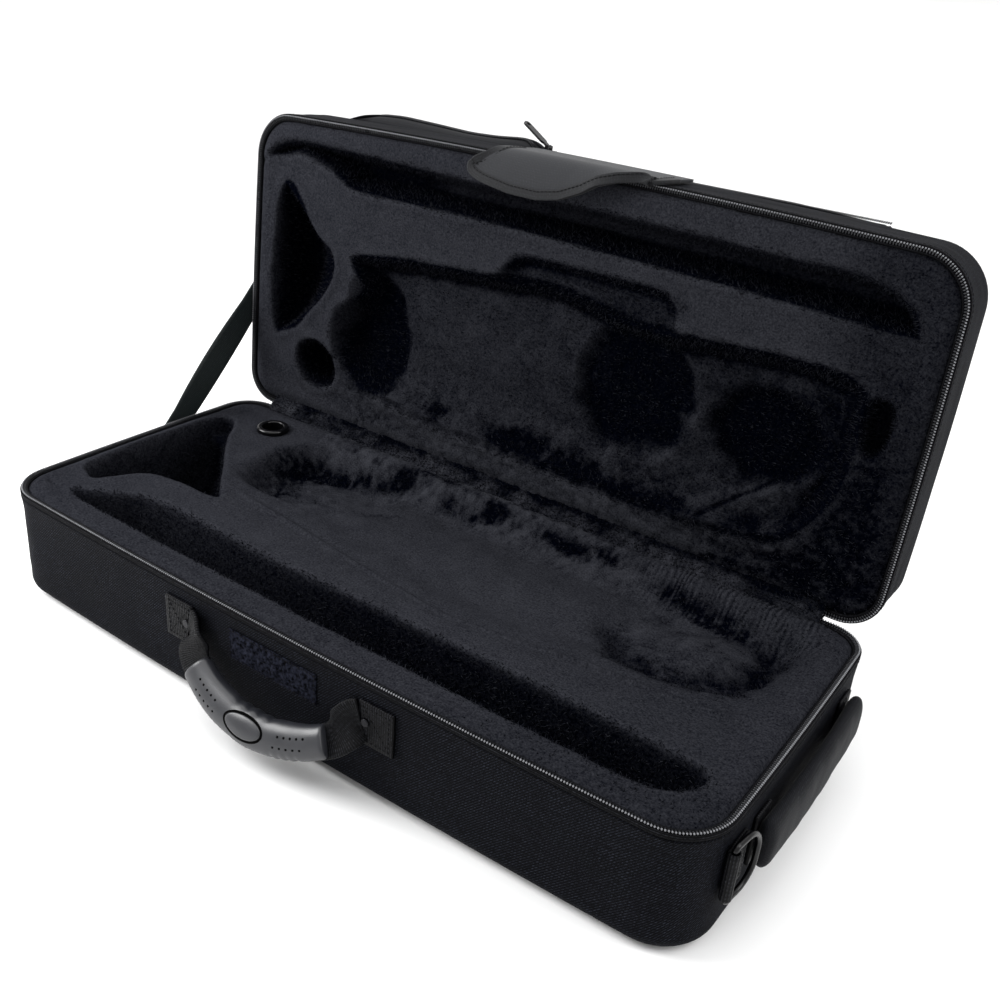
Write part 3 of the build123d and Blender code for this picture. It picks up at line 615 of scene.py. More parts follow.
# rough loops that catch a bluish light
loopPile = mouldedMaterial("hookAndLoopPile", "010103", "20222c", 0.95, grain=0.0011, depth=0.0006,
                           gloss=0.03,
                           patches=0.0021, spread=0.13)
# dark metal glint in the anchors
nickelCap = mouldedMaterial("blackenedNickelRivet", "2a2a2d", "161618", 0.3, metallic=1.0)
# black dots and groove
dimpleRubber = mouldedMaterial("shadedRubberDimple", "010101", "030303", 0.9, gloss=0.03)
# dull board behind the recesses
foamBoard = mouldedMaterial("cutFoamBoard", "08080a", "101012", 0.9, gloss=0.08)
print("materials made")


# camera, light and floor
view = {"yaw": 33.07, "pitch": 27.23, "roll": 4.909, "focalPixels": 1091.3,
        "place": (395.16, -500.73, 457.49)}


def makeCamera():
    yaw, pitch, roll = (math.radians(view[k]) for k in ("yaw", "pitch", "roll"))
    back = Vector((math.sin(yaw) * math.cos(pitch), -math.cos(yaw) * math.cos(pitch), math.sin(pitch)))
    level = Vector((math.cos(yaw), math.sin(yaw), 0))
    upright = back.cross(level)
    right = level * math.cos(roll) + upright * math.sin(roll)
    up = upright * math.cos(roll) - level * math.sin(roll)
    data = bpy.data.cameras.new("camera")
    data.sensor_width = 36
    data.lens = view["focalPixels"] / 1000 * 36
    data.clip_end = 20
    camera = bpy.data.objects.new("camera", data)
    rows = [(right[k], up[k], back[k], view["place"][k] * mm) for k in range(3)]
    camera.matrix_world = Matrix(rows + [(0, 0, 0, 1)])
    bpy.context.scene.collection.objects.link(camera)
    bpy.context.scene.camera = camera


def makeLamp(name, place, target, size, power):
    data = bpy.data.lights.new(name, "AREA")
    data.shape = "RECTANGLE"
    data.size, data.size_y = size
    data.energy = power
    lamp = bpy.data.objects.new(name, data)
    lamp.location = place
    lamp.rotation_euler = (Vector(place) - Vector(target)).to_track_quat("Z", "Y").to_euler()
    bpy.context.scene.collection.objects.link(lamp)


# one broad light straight above, the same all over the floor
def makeOverhead(strength, spread):
    data = bpy.data.lights.new("overheadSheet", "SUN")
    data.energy = strength
    data.angle = math.radians(spread)
    lamp = bpy.data.objects.new("overheadSheet", data)
    lamp.rotation_euler = (math.radians(-8), 0, 0)
    bpy.context.scene.collection.objects.link(lamp)


# the floor and the world look white to the camera and in gloss, while their own light stays plain
def makeSurroundings():
    size = 80.0
    corners = [(-size, -size, 0), (size, -size, 0), (size, size, 0), (-size, size, 0)]
    floor = makePiece("floor", corners, [(0, 1, 2, 3)], None, place=Matrix.Translation((0, 0, -0.0004)))
    material, tree, shader = newMaterial("paleFloor")
    shader.inputs["Base Color"].default_value = hexToLinear("fbfbfb")
    setShader(shader, roughness=0.9)
    floor.data.materials.append(material)
    world = bpy.data.worlds.new("softRoom")
    world.use_nodes = True
    tree = world.node_tree
    tree.nodes.clear()
    ray = addNode(tree, "ShaderNodeLightPath")
    seen = mathOf(tree, "MAXIMUM", ray.outputs["Is Camera Ray"], ray.outputs["Is Glossy Ray"])
    seen = mathOf(tree, "MAXIMUM", seen, ray.outputs["Is Transmission Ray"])
    room = addNode(tree, "ShaderNodeBackground", {"Color": (1, 1, 1, 1), "Strength": 0.5})
    white = addNode(tree, "ShaderNodeBackground", {"Color": (1, 1, 1, 1), "Strength": 1.0})
    both = addNode(tree, "ShaderNodeMixShader", {0: seen, 1: room.outputs[0], 2: white.outputs[0]})
    addNode(tree, "ShaderNodeOutputWorld", {"Surface": both.outputs[0]})
    bpy.context.scene.world = world


makeCamera()
makeSurroundings()
makeLamp("leftSoftbox", (-0.95, -0.55, 0.75), (-0.22, -0.05, 0.08), (0.7, 0.7), 18)
makeLamp("rightSoftbox", (1.5, 0.3, 1.3), (0, 0.05, 0.1), (1.0, 1.2), 14)
makeOverhead(1.9, 75)
bpy.context.scene.view_settings.view_transform = "Standard"
print("camera and light placed")


# covers and zips; distances are in millimetres from the wall and along the zip
seamLine = {"zipHeight": 3.6, "tapeDrop": 1.6, "tapeThickness": 0.8, "coilInset": 1.2, "coilPitch": 1.75,
            "coilWidth": 2.7, "coilHeight": 1.0, "coilThread": 0.75, "stitchPitch": 3.2, "stitchLength": 2.3}
coverCloth = {"thickness": 1.4, "puff": 0.55, "puffSize": 46, "crease": 0.25, "creaseSize": 15}


def makeCover(name, node, body, wallHeight, place, seed):
    r = case["edgeRadius"]
    points, normals, along = planLine(4.0)
    hemZ = wallHeight - seamLine["tapeDrop"]
    profile = [(-r * 1.9, 0.0), (-r * 1.25, 0.0)]
    profile += [(-r + r * math.sin(a), r - r * math.cos(a)) for a in np.linspace(0.12, math.pi / 2, 9)]
    profile += [(0, z) for z in np.linspace(r + 3, hemZ - 2.2, 14)]
    profile += [(0.15, hemZ - 1.1), (0.0, hemZ - 0.5), (-0.7, hemZ), (-0.9, hemZ + 0.5),
                (-0.9, wallHeight - 0.2)]
    rows = len(profile)
    grid = np.zeros((len(points), rows, 3))
    for j, (out, z) in enumerate(np.array(profile)):
        loose = smoothStep(r * 0.4, r * 1.6, z) * smoothStep(hemZ, hemZ - 14, z)
        puff = out + loose * (
            coverCloth["puff"] * softNoise(along, z + seed * 90, coverCloth["puffSize"], seed) - 0.35
            + coverCloth["crease"] * softNoise(along, z * 2 + seed * 50, coverCloth["creaseSize"], seed + 1))
        grid[:, j, :2] = points + normals * puff[:, None]
        grid[:, j, 2] = z
    cover = gridPiece(name, grid, nylonTwill, place, closeColumns=True)
    with edited(cover) as mesh:
        mesh.verts.ensure_lookup_table()
        bottom = mesh.faces.new([mesh.verts[i * rows] for i in range(len(points))])
        uvLayer = mesh.loops.layers.uv.active
        for loop in bottom.loops:
            loop[uvLayer].uv = (loop.vert.co.x, loop.vert.co.y)
        bmesh.ops.recalc_face_normals(mesh, faces=mesh.faces)
    thicken(cover, coverCloth["thickness"], -1)
    finishPiece(cover, body, "nylon", node)


def makeMainZip(side, wallHeight, rimHeight, place):
    low, top, thick = wallHeight - seamLine["tapeDrop"], rimHeight - 1.5, seamLine["tapeThickness"]
    inset, pitch = seamLine["coilInset"], seamLine["coilPitch"] * mm
    # the tape stands up out of the hem, turns in under the coil and ends in a thin woven edge beside the pile
    section = [(-0.7, low - 0.5), (-0.3, low + 0.1), (0.15, low + 0.5), (0.3, low + 1.2), (0.3, top - 0.6),
               (0.0, top - 0.1), (-0.45, top), (-0.85, top - 0.5), (-3.7, top - 0.5), (-4.1, top),
               (-4.6, top + 0.1),
               (-4.9, top - 0.3), (-5.0, top - 0.6 - thick), (-5.0, wallHeight - 0.6),
               (-1.6, wallHeight - 0.8)]
    tape = bandPiece(side + "ZipTape", section, zipTapeWeave, place, zipRun=True, flip=True)
    up = np.array(Vector((place.to_3x3() @ Vector((0, 0, 1)))).normalized())
    turn = coilTurnUnit(seamLine["coilWidth"] * mm, seamLine["coilHeight"] * mm, seamLine["coilThread"] * mm)
    coilLine, _ = zipLine(-inset - 1.35, rimHeight - 1.45, place)
    coil = repeatAlong(side + "ZipCoil", [(coilLine, up)], turn, pitch, nylonCoil)
    # the heads carry the painted highlight along the top of the coil
    headLine, _ = zipLine(-inset, rimHeight - 0.85, place)
    heads = repeatAlong(side + "ZipCoilHeads", [(headLine, up)], coilHeadUnit(1.2 * mm, 1.3 * mm), pitch,
                        coilHeadHighlight)
    cord = [(-inset + 0.1 + 0.6 * math.cos(a), rimHeight - 1.7 + 0.5 * math.sin(a))
            for a in np.linspace(0, 2 * math.pi, 9)[:-1]]
    filler = turnOutward(bandPiece(side + "ZipFillerCord", cord, fillerCord, place, zipRun=True))
    thread = stitchUnit(seamLine["stitchLength"] * mm, 0.4 * mm, 0.3 * mm)
    line, normals = zipLine(0.15, low - 1.3, place)
    outward = np.column_stack([normals, np.zeros(len(normals))]) @ np.array(place.to_3x3().normalized()).T
    seam = repeatAlong(side + "ZipStitching", [(line, outward)], thread, seamLine["stitchPitch"] * mm,
                       seamThread)
    for piece, slot, *nodes in ((tape, "zip_tape", side + "_zip_tape"),
                                (coil, "zip_coil", side + "_zip_coil"),
                                (heads, "zip_coil"), (filler, "zip_coil"), (seam, "zip_tape")):
        finishPiece(piece, side, slot, *nodes)


wallTops = {"base": baseRim - seamLine["zipHeight"], "lid": lidRim - seamLine["zipHeight"]}
makeCover("baseCover", "base_cover", "base", wallTops["base"], baseMatrix, 3)
makeCover("lidCover", "lid_cover", "lid", wallTops["lid"], lidMatrix, 11)
makeMainZip("base", wallTops["base"], baseRim, baseMatrix)
makeMainZip("lid", wallTops["lid"], lidRim, lidMatrix)
print("covers and zips made")


# moulded plush inserts: one height field each, cut by soft-edged recesses
plush = {"grid": 1.35, "boundary": 5.3, "floor": 9.0, "fuzz": 0.12, "baseLand": 81.3, "lidDrop": 2.3,
         "landLay": 0.57}


def closedCurve(points, count=160):
    points = np.array(points, float)
    n = len(points)
    t = np.linspace(0, n, count, endpoint=False)
    i, f = np.floor(t).astype(int), (t % 1)[:, None]
    a, b, c, d = (points[(i + k) % n] for k in (-1, 0, 1, 2))
    return 0.5 * (2 * b + (c - a) * f + (2 * a - 5 * b + 4 * c - d) * f ** 2
                  + (3 * b - a - 3 * c + d) * f ** 3)


# distance to a closed outline, below zero inside
def outlineDistance(x, y, outline):
    best = np.full(x.shape, 1e9)
    inside = np.zeros(x.shape, bool)
    for (ax, ay), (bx, by) in zip(outline, np.roll(outline, -1, axis=0)):
        dx, dy = bx - ax, by - ay
        t = np.clip(((x - ax) * dx + (y - ay) * dy) / (dx * dx + dy * dy + 1e-9), 0, 1)
        best = np.minimum(best, np.hypot(x - ax - t * dx, y - ay - t * dy))
        inside ^= ((ay > y) != (by > y)) & (x < (bx - ax) * (y - ay) / (by - ay + 1e-12) + ax)
    return np.where(inside, -best, best)


# distance to an open line
def lineDistance(x, y, line):
    best = np.full(x.shape, 1e9)
    for (ax, ay), (bx, by) in zip(line[:-1], line[1:]):
        dx, dy = bx - ax, by - ay
        t = np.clip(((x - ax) * dx + (y - ay) * dy) / (dx * dx + dy * dy), 0, 1)
        best = np.minimum(best, np.hypot(x - ax - t * dx, y - ay - t * dy))
    return best


# 1 at the middle, falling off softly within the width
def softBump(value, middle, width):
    return np.exp(-((value - middle) / width) ** 2)


class PileField:
    # height, tone and ruffle over the plan; the tone is 1 where the pile lies flat and light, 0 where it
    # stands dark, and it also carries painted shade in recesses, slots and creases
    def __init__(self, x, y, edge, land):
        self.x, self.y, self.edge = x, y, edge
        self.height = np.full(x.shape, float(land))
        self.lay = np.full(x.shape, plush["landLay"])
        self.ruffle = np.zeros(x.shape)

    # distance to an outline; ragged says how far it strays, over what size, and its seed
    def distance(self, outline, ragged=None):
        d = outlineDistance(self.x, self.y, closedCurve(outline))
        if ragged:
            stray, size, seed = ragged
            d = d + stray * softNoise(self.x, self.y, size, seed)
        return d

    def sinkTo(self, floor, share):
        self.height = self.height * (1 - share) + floor * share

    def recess(self, outline, floor, wall, roll=0.9, lay=None, edge=3.0):
        d = self.distance(outline, (0.5, 14, 21))
        self.sinkTo(np.minimum(floor, self.height), smoothStep(0, wall, -d))
        self.height += roll * softBump(d, 3.0, 3.5)
        # inside the recess the tone goes to the given value: painted shade on its walls and floor
        if lay is not None:
            dark = smoothStep(-0.6, edge, -d)
            self.lay = self.lay * (1 - dark) + lay * dark
        # the rim is painted a little lighter
        self.lay += 0.06 * softBump(d, 2.5, 2)
        self.ruffle += 0.8 * softBump(d, 0.3, 1.8)

    def patch(self, cx, cy, rx, ry, lift=0.0, lay=0.0, turn=0.0):
        c, s = math.cos(math.radians(turn)), math.sin(math.radians(turn))
        u, v = ((self.x - cx) * c + (self.y - cy) * s) / rx, ((self.y - cy) * c - (self.x - cx) * s) / ry
        weight = np.exp(-(u * u + v * v) ** 1.15)
        self.height += lift * weight
        self.lay += lay * weight

    # a line pressed into the pile
    def streak(self, line, width, lift=0.0, lay=0.0, wander=0.0):
        weight = softBump(lineDistance(self.x, self.y, line) + wander * softNoise(self.x, self.y, 9, 17), 0,
                          width)
        self.height += lift * weight
        self.lay += lay * weight

    # pile combed into fine furrows that run away from the hinge; the tone follows the furrows as painted
    # light and shade of their fine relief
    def furrows(self, band, pitch, depth, tone, seed):
        comb = np.sin((self.x + 2.2 * softNoise(self.x, self.y, 11, seed)) * 2 * math.pi / pitch)
        comb = comb * (0.7 + 0.5 * softNoise(self.x, self.y, 6, seed + 1))
        self.height += band * depth * comb
        self.lay += band * tone * comb

    # clumps of pile that stand or lie at random
    def clumps(self, band, size, tone, seed):
        rough = softNoise(self.x, self.y, size, seed) + 0.6 * softNoise(self.x, self.y, size * 0.45, seed + 1)
        self.height += band * 0.5 * rough
        self.lay += band * tone * rough


bell = {"x": (-270, -248, -238, -226, -213, -200, -190, -172, -150),
        "r": (63.5, 63.5, 56, 46, 36, 28, 22, 13, 11),
        "y": -6.0, "drop": 15.0}


def bellFloor(x, y, axisHeight):
    r = np.interp(x, bell["x"], bell["r"])
    return axisHeight - np.sqrt(np.maximum(r ** 2 - (y - bell["y"]) ** 2, 0))


baseShapes = {
    "bellSlot": [(-263, -61), (-254, -67), (-244, -69), (-237, -60), (-230, -48), (-223, -39), (-213, -34),
                 (-194, -31), (-172, -31), (-158, -28), (-160, -22), (-170, -13), (-200, 18), (-226, 45),
                 (-244, 69), (-255, 76), (-263, 70), (-267, 52), (-267, 30), (-268, 11), (-268, -7),
                 (-267, -29), (-266, -43)],
    "trough": [(-240, -88), (-236, -92), (-226, -95), (-180, -97), (-100, -98.5), (0, -99), (100, -98),
               (200, -96.5), (231, -95), (241, -92), (249, -86), (254, -80), (257, -72), (255, -66),
               (245, -62.5), (200, -61), (100, -60), (0, -61), (-60, -63), (-120, -60.5), (-160, -59),
               (-186, -61), (-200, -65), (-214, -73), (-228, -82)],
    "basin": [(-178, 5), (-140, 0), (-96, -5), (-20, -17), (55, -26), (110, -19), (156, -9), (200, -6),
              (232, 0), (247, 14), (253, 40), (252, 80), (243, 99), (200, 106), (100, 107), (0, 107),
              (-100, 106), (-150, 102), (-172, 92), (-180, 80), (-190, 54), (-188, 26)],
    "hollow": [(-179, 24), (-161, 7), (-122, 21), (-100, 50), (-61, 96), (-75, 108), (-118, 98), (-160, 96),
               (-182, 70)],
    "groove": [(142, 34), (149, 22), (163, 14), (184, 13), (206, 17), (224, 29), (235, 47), (236, 66),
               (231, 83)],
}


def baseField(x, y, edge):
    pile = PileField(x, y, edge, plush["baseLand"])
    fold = smoothStep(255, 245, np.abs(x)) * smoothStep(100, 108, y)
    pile.height += 1.5 * softBump(edge, 8, 6) - 1.2 * (1 - fold) * softBump(edge, 0, 1.6)
    front = np.interp(x, (-178, -96, 55, 156, 232), (5, -5, -26, -9, 0))
    basin = pile.distance(baseShapes["basin"])
    slope = smoothStep(-48, front, y) * smoothStep(-190, -120, x) * smoothStep(264, 236, x)
    slope = slope * np.where(y > front - 12, 1 - smoothStep(4, 16, basin), 1)
    pile.height -= 5.6 * slope * (1 - smoothStep(80, 106, y))
    floor = 69.5 + 2.0 * softNoise(x, y, 42, 5) + 1.1 * softNoise(x, y, 17, 6) - 5.5 * smoothStep(20, 95, y)
    pile.sinkTo(floor, smoothStep(-2, 30, -basin))
    pile.height -= 7.5 * smoothStep(-3, 16, -pile.distance(baseShapes["hollow"]))
    # a groove pressed in, with painted shade along it
    pile.streak(baseShapes["groove"], 11, -6.0, -0.34, 2.5)
    pile.patch(198, 48, 24, 22, 7.0, 0.05)
    pile.patch(70, 20, 90, 26, -1.5, 0.05)
    # dark patches in the dips, beside the hollow and along the fold: partly the pile standing, partly painted
    # shade
    for cx, cy, rx, ry, lay, turn in (
            (-160, 32, 20, 15, -0.50, 30), (-171, 60, 13, 12, -0.68, 20), (-160, 77, 13, 8, -0.85, 10),
            (-140, 82, 16, 6, -0.85, 8), (-110, 91, 22, 5, -0.56, 12), (-86, 101, 9, 5, -0.80, 0),
            (-72, 50, 22, 6, -0.22, 40), (-61, 108, 26, 3.5, -0.40, 0), (-36, 95, 14, 7, -0.42, 0),
            (-4, 96, 13, 6, -0.85, 25), (-3, 104, 9, 4, -0.60, 0), (15, 100, 12, 4, -0.42, 0),
            (40, 100, 14, 4, -0.40, 0), (64, 97, 14, 4.5, -0.75, -4), (82, 99, 10, 3.5, -0.40, 0),
            (101, 100, 12, 4.5, -0.78, -4), (123, 101, 9, 3.5, -0.40, 0), (153, 94, 14, 5, -0.56, -5),
            (176, 90, 16, 6, -0.68, -8), (201, 87, 14, 6.5, -0.74, -8), (235, 52, 8, 16, -0.34, 0)):
        pile.patch(cx, cy, rx, ry, 2.0 * lay, 0.82 * lay * (1 + 0.8 * softNoise(x, y, 2.9, 23)), turn)
    # the pile is combed where it runs up to the fold, and stands in clumps further in
    back = smoothStep(70, 100, y + 5 * softNoise(x, y, 15, 10))
    rise = (1.0 + 0.4 * smoothStep(120, 160, x)) * smoothStep(82, 107, y)
    pile.height += rise * smoothStep(-195, -160, x) * smoothStep(262, 244, x)
    pile.furrows(back * smoothStep(110, 150, x) * smoothStep(266, 250, x), 3.7, 0.55, 0.30, 9)
    pile.clumps(back * smoothStep(-195, -160, x) * smoothStep(150, 110, x), 5.5, 0.28, 12)
    inner = smoothStep(0, 14, -basin)
    pile.clumps(inner * smoothStep(-60, -120, x), 6.5, 0.14, 13)
    pile.clumps(inner * smoothStep(120, 160, x), 6.5, 0.16, 15)
    # painted shade: darker towards the right end and towards the front
    pile.lay -= 0.11 * smoothStep(60, 230, x) + 0.09 * smoothStep(-50, -85, y)
    # the trough's inside painted dark as painted shade, less so towards the left
    pile.recess(baseShapes["trough"], 39.0, 13, roll=0.8, lay=0.07 + 0.16 * smoothStep(60, -180, x))
    d = pile.distance(baseShapes["bellSlot"], (0.4, 12, 14))
    bellRoom = bellFloor(x, y, case["baseHeight"] - bell["drop"])
    pile.sinkTo(np.maximum(bellRoom, plush["floor"]), smoothStep(0, 5, -d))
    pile.height += 0.9 * softBump(d, 3.0, 3.5)
    # the bell slot painted almost black as painted shade, a little lighter at its far left end
    pile.lay *= 1 - 0.96 * smoothStep(-0.5, 2.5, -d)
    pile.lay += 0.16 * smoothStep(0, 3, -d) * smoothStep(-250, -262, x)
    pile.height -= 1.4 * softBump(lineDistance(x, y, [(-271, -88), (-259, -93), (-238, -90)]), 0, 1.6)
    # round hole of the mouthpiece holder, level round its ring
    holder = np.hypot(x + 215, y - 84)
    share = smoothStep(13.5, 17.0, holder)
    pile.height = pile.height * share + 80.7 * (1 - share)
    pile.height -= 46 * smoothStep(11.6, 10.4, holder)
    return pile


lidShapes = {   # x and distance from the hinge
    "bellSlot": [(-252, 185), (-247, 190), (-240, 189), (-232, 181), (-221, 164), (-211, 153), (-203, 148),
                 (-196, 144), (-192, 136), (-192, 124), (-197, 113), (-204, 103), (-212, 93), (-222, 81),
                 (-231, 72), (-243, 66), (-253, 63), (-258, 74), (-260, 100), (-260, 125), (-258, 150),
                 (-257, 170)],
    "mouthpiece": [(-229, 52), (-222, 64), (-208, 68), (-193, 62), (-184, 48), (-187, 34), (-201, 27),
                   (-216, 29), (-226, 39)],
    "trough": [(-268, 205), (-262, 213), (-250, 219), (-235, 222), (-190, 222), (-60, 220), (83, 219),
               (166, 217), (215, 217), (237, 212), (248, 206), (254, 199), (257, 190), (247, 187),
               (150, 190), (12, 193), (-80, 194), (-170, 193), (-190, 199), (-206, 205), (-232, 211),
               (-250, 207)],
    "recess": [(-175, 143), (-150, 149), (-125, 153), (-87, 156), (-40, 159), (0, 163), (34, 160), (82, 153),
               (153, 157), (212, 158), (236, 150), (240, 132), (238, 96), (226, 60), (200, 34), (120, 26),
               (0, 26), (-100, 30), (-156, 40), (-178, 52), (-191, 68), (-193, 88), (-188, 100), (-172, 112),
               (-166, 122)],
    "shelf": [(-45, 155), (-36, 162), (-30, 170), (-22, 176), (-8, 178.5), (46, 179), (90, 178.5), (101, 173),
              (106, 160), (104, 148), (30, 146)],
    "valveWell": [(30, 96), (34, 118), (46, 137), (68, 146), (94, 144), (114, 132), (126, 112), (124, 86),
                  (110, 64), (84, 54), (54, 58), (38, 74)],
    "slideWell": [(134, 96), (140, 114), (155, 127), (176, 132), (198, 126), (214, 112), (218, 96), (208, 76),
                  (190, 66), (166, 66), (146, 76)],
    "darkLeft": [(-172, 122), (-156, 132), (-136, 122), (-128, 104), (-122, 82), (-124, 56), (-138, 38),
                 (-158, 32), (-176, 42), (-188, 62), (-187, 84), (-176, 104)],
    "hookWell": [(247, 149), (256, 144), (258, 130), (256, 115), (248, 109), (240, 114), (237, 130),
                 (239, 145)],
}


def lidField(x, y, edge):
    s = halfWidth - y
    pile = PileField(x, s, edge, lidRim - plush["lidDrop"])
    fold = smoothStep(255, 245, np.abs(x)) * smoothStep(19, 11, s)
    pile.height += 1.5 * softBump(edge, 8, 6) - 1.2 * (1 - fold) * softBump(edge, 0, 1.6)
    # the shelf's inside painted darker as painted shade
    pile.recess(lidShapes["shelf"], lidRim - 9, 7, lay=0.24)
    upper = smoothStep(105, 130, s) * smoothStep(243, 232, x)
    # painted shadow along the inside of the shelf's upper edge
    pile.lay -= 0.45 * softBump(pile.distance(lidShapes["shelf"]), -4.5, 4) * smoothStep(160, 170, s)
    pile.recess(lidShapes["recess"], lidRim - 19 + 1.2 * softNoise(x, s, 30, 31), 15,
                lay=0.34 - 0.10 * smoothStep(10, 90, x), roll=0.7)
    d = pile.distance(lidShapes["recess"], (1.5, 8, 30))
    # painted shadow on the recess floor just below its upper edge
    pile.lay -= 0.75 * upper * smoothStep(-1, 2.5, -d) * smoothStep(19, 8, -d)
    # the hollow on the left: sunk and painted darker as painted shade
    share = smoothStep(-4, 10, -pile.distance(lidShapes["darkLeft"], (1.5, 8, 34)))
    pile.height -= 8 * share
    pile.lay -= 0.42 * share
    pile.patch(-158, 60, 17, 19, 0, -0.40, 20)
    # the recess runs out in a soft slope towards the hinge
    low = smoothStep(72, 30, s) * smoothStep(-190, -150, x) * smoothStep(245, 225, x)
    pile.height = np.minimum(pile.height + 9 * low, np.maximum(pile.height, lidRim - 2.5))
    # the wells are sunk and painted darker as painted shade
    for shape, depth, dark in (("valveWell", 6.5, 0.34), ("slideWell", 8.0, 0.34)):
        share = smoothStep(-3, 9, -pile.distance(lidShapes[shape], (2.0, 9, 33)))
        pile.height -= depth * share
        pile.lay -= dark * share
    # tone patches, lighter on raised lands and darker in dips: partly the pile's own lay, partly painted
    # light and shade
    for cx, cs, rx, ry, lift, lay, turn in (
            (122, 97, 9, 17, 2.0, 0.26, -8), (94, 62, 30, 9, 1.5, 0.24, 4), (176, 57, 50, 9, 3.0, 0.26, 34),
            (134, 36, 26, 8, 2.0, 0.20, 6), (228, 126, 9, 15, 3.0, 0.34, 0), (-70, 100, 60, 40, 0, 0.08, 0),
            (-83, 40, 9, 8, -1.5, -0.58, 0), (-14, 38, 13, 7, -1.5, -0.62, 0),
            (12, 37, 22, 9, -1.5, -0.42, -6), (50, 35, 26, 9, -1.5, -0.44, -4),
            (104, 31, 26, 8, -1.0, -0.46, 0), (129, 36, 9, 5, -1.0, -0.45, 0), (178, 11, 34, 4, 0, -0.45, 4),
            (60, 152, 30, 9, 0, -0.20, 0), (106, 168, 9, 7, -2.0, -0.25, 80), (190, 25, 60, 16, 0, -0.36, 0),
            (250, 60, 26, 46, 0, -0.32, 0), (252, 120, 20, 46, 0, -0.12, 0), (70, 206, 110, 12, 0, -0.10, 0),
            (-150, 22, 40, 9, 0, -0.22, 0), (-262, 120, 12, 90, 0, -0.06, 0)):
        pile.patch(cx, cs, rx, ry, lift, 0.85 * lay * (1 + 0.6 * softNoise(x, s, 3.1, 24)), turn)
    # painted shade: darker towards the right end, and near the hinge on the right
    pile.lay -= 0.28 * smoothStep(190, 232, x) + 0.08 * smoothStep(120, 190, x) * smoothStep(60, 20, s)
    # lines pressed into the pile, with painted shade along them
    pile.streak([(148, 37), (171, 56), (205, 82)], 1.5, -1.6, -0.40)
    pile.streak([(232, 94), (221, 72), (208, 52)], 1.6, -1.6, -0.40)
    pile.streak([(226, 92), (216, 74)], 1.2, -1.2, -0.30)
    inner = smoothStep(0, 12, -pile.distance(lidShapes["recess"]))
    pile.clumps(inner * (0.55 + 0.45 * smoothStep(-20, 60, x)), 9.0, 0.10, 36)
    pile.clumps(smoothStep(75, 40, s) * smoothStep(-200, -160, x), 5.0, 0.17, 38)
    # the trough's inside painted darker as painted shade, most at the left end and towards the right
    pile.recess(lidShapes["trough"], lidRim - 27, 11,
                lay=0.27 - 0.25 * smoothStep(-90, -130, x) - 0.14 * smoothStep(40, 180, x))
    d = pile.distance(lidShapes["trough"])
    # painted shadow along the inside of the trough's upper edge
    pile.lay -= 0.60 * smoothStep(-0.5, 1.5, -d) * smoothStep(13, 7, -d) * smoothStep(207, 200, s)
    # the mouthpiece hole painted black and the hook well near black, as painted shade
    pile.recess(lidShapes["mouthpiece"], lidRim - 34, 9, lay=0.0)
    pile.recess(lidShapes["hookWell"], lidRim - 19, 6, lay=0.05, roll=0.4)
    d = pile.distance(lidShapes["bellSlot"], (0.4, 12, 38))
    floor = np.maximum(bellFloor(x, y, case["lidDepth"] + bell["drop"]), plush["floor"])
    pile.sinkTo(np.minimum(floor, pile.height), smoothStep(0, 5, -d))
    pile.height += 0.9 * softBump(d, 3.0, 3.5)
    # the bell slot painted black as painted shade
    pile.lay *= 1 - smoothStep(-0.5, 2.0, -d)
    pile.height -= 1.2 * softBump(lineDistance(x, s, [(-276, 199), (-262, 210), (-248, 215)]), 0, 1.6)
    return pile


def makeInsert(name, field, place, seed):
    step = plush["grid"]
    xs = np.arange(-halfLength, halfLength + step, step)
    ys = np.arange(-halfWidth - case["frontBow"], halfWidth + step, step)
    x, y = (a.ravel() for a in np.meshgrid(xs, ys, indexing="ij"))
    wall, normals, _ = planLine(1.5)
    nearest = np.zeros(len(x), int)
    # a few thousand points at a time, to spare the memory
    for start in range(0, len(x), 4000):
        part = slice(start, start + 4000)
        nearest[part] = ((x[part, None] - wall[:, 0]) ** 2 + (y[part, None] - wall[:, 1]) ** 2).argmin(axis=1)
    outX, outY = normals[nearest].T
    edge = (wall[nearest, 0] - x) * outX + (wall[nearest, 1] - y) * outY - plush["boundary"]
    faces = np.array(gridFaces(len(xs), len(ys))[0])
    faces = faces[(edge[faces] > -step * 0.75).all(axis=1)]
    # points just outside are drawn in to the boundary
    outside = edge < 0
    x, y = np.where(outside, x + outX * edge, x), np.where(outside, y + outY * edge, y)
    pile = field(x, y, np.maximum(edge, 0))
    fuzz = plush["fuzz"]
    pile.height += fuzz * softNoise(x, y, 5, seed) + fuzz * 0.7 * softNoise(x, y, 2.7, seed + 1)
    pile.height = np.maximum(pile.height, plush["floor"])
    used = np.unique(faces)
    renumber = np.zeros(len(x), int)
    renumber[used] = np.arange(len(used))
    piece = makePiece(name, np.column_stack([x, y, pile.height])[used], renumber[faces], linedPlush, place)
    addAttribute(piece.data, "lay", np.clip(pile.lay, 0, 1)[used])
    addAttribute(piece.data, "ruffle", np.clip(pile.ruffle + 1.3 * (0.46 - pile.lay), 0, 1)[used])
    # walls down to the shell and a flat underside close it
    down = Vector(place.to_3x3() @ Vector((0, 0, 1))).normalized()
    floorPoint = place @ Vector((0, 0, plush["floor"] - 0.9))
    with edited(piece) as mesh:
        for v in drawnBorder(mesh):
            v.co -= down * (v.co - floorPoint).dot(down)
        fillHoles(mesh)
        bmesh.ops.recalc_face_normals(mesh, faces=mesh.faces)
    smoothShaded(piece.data)
    return piece


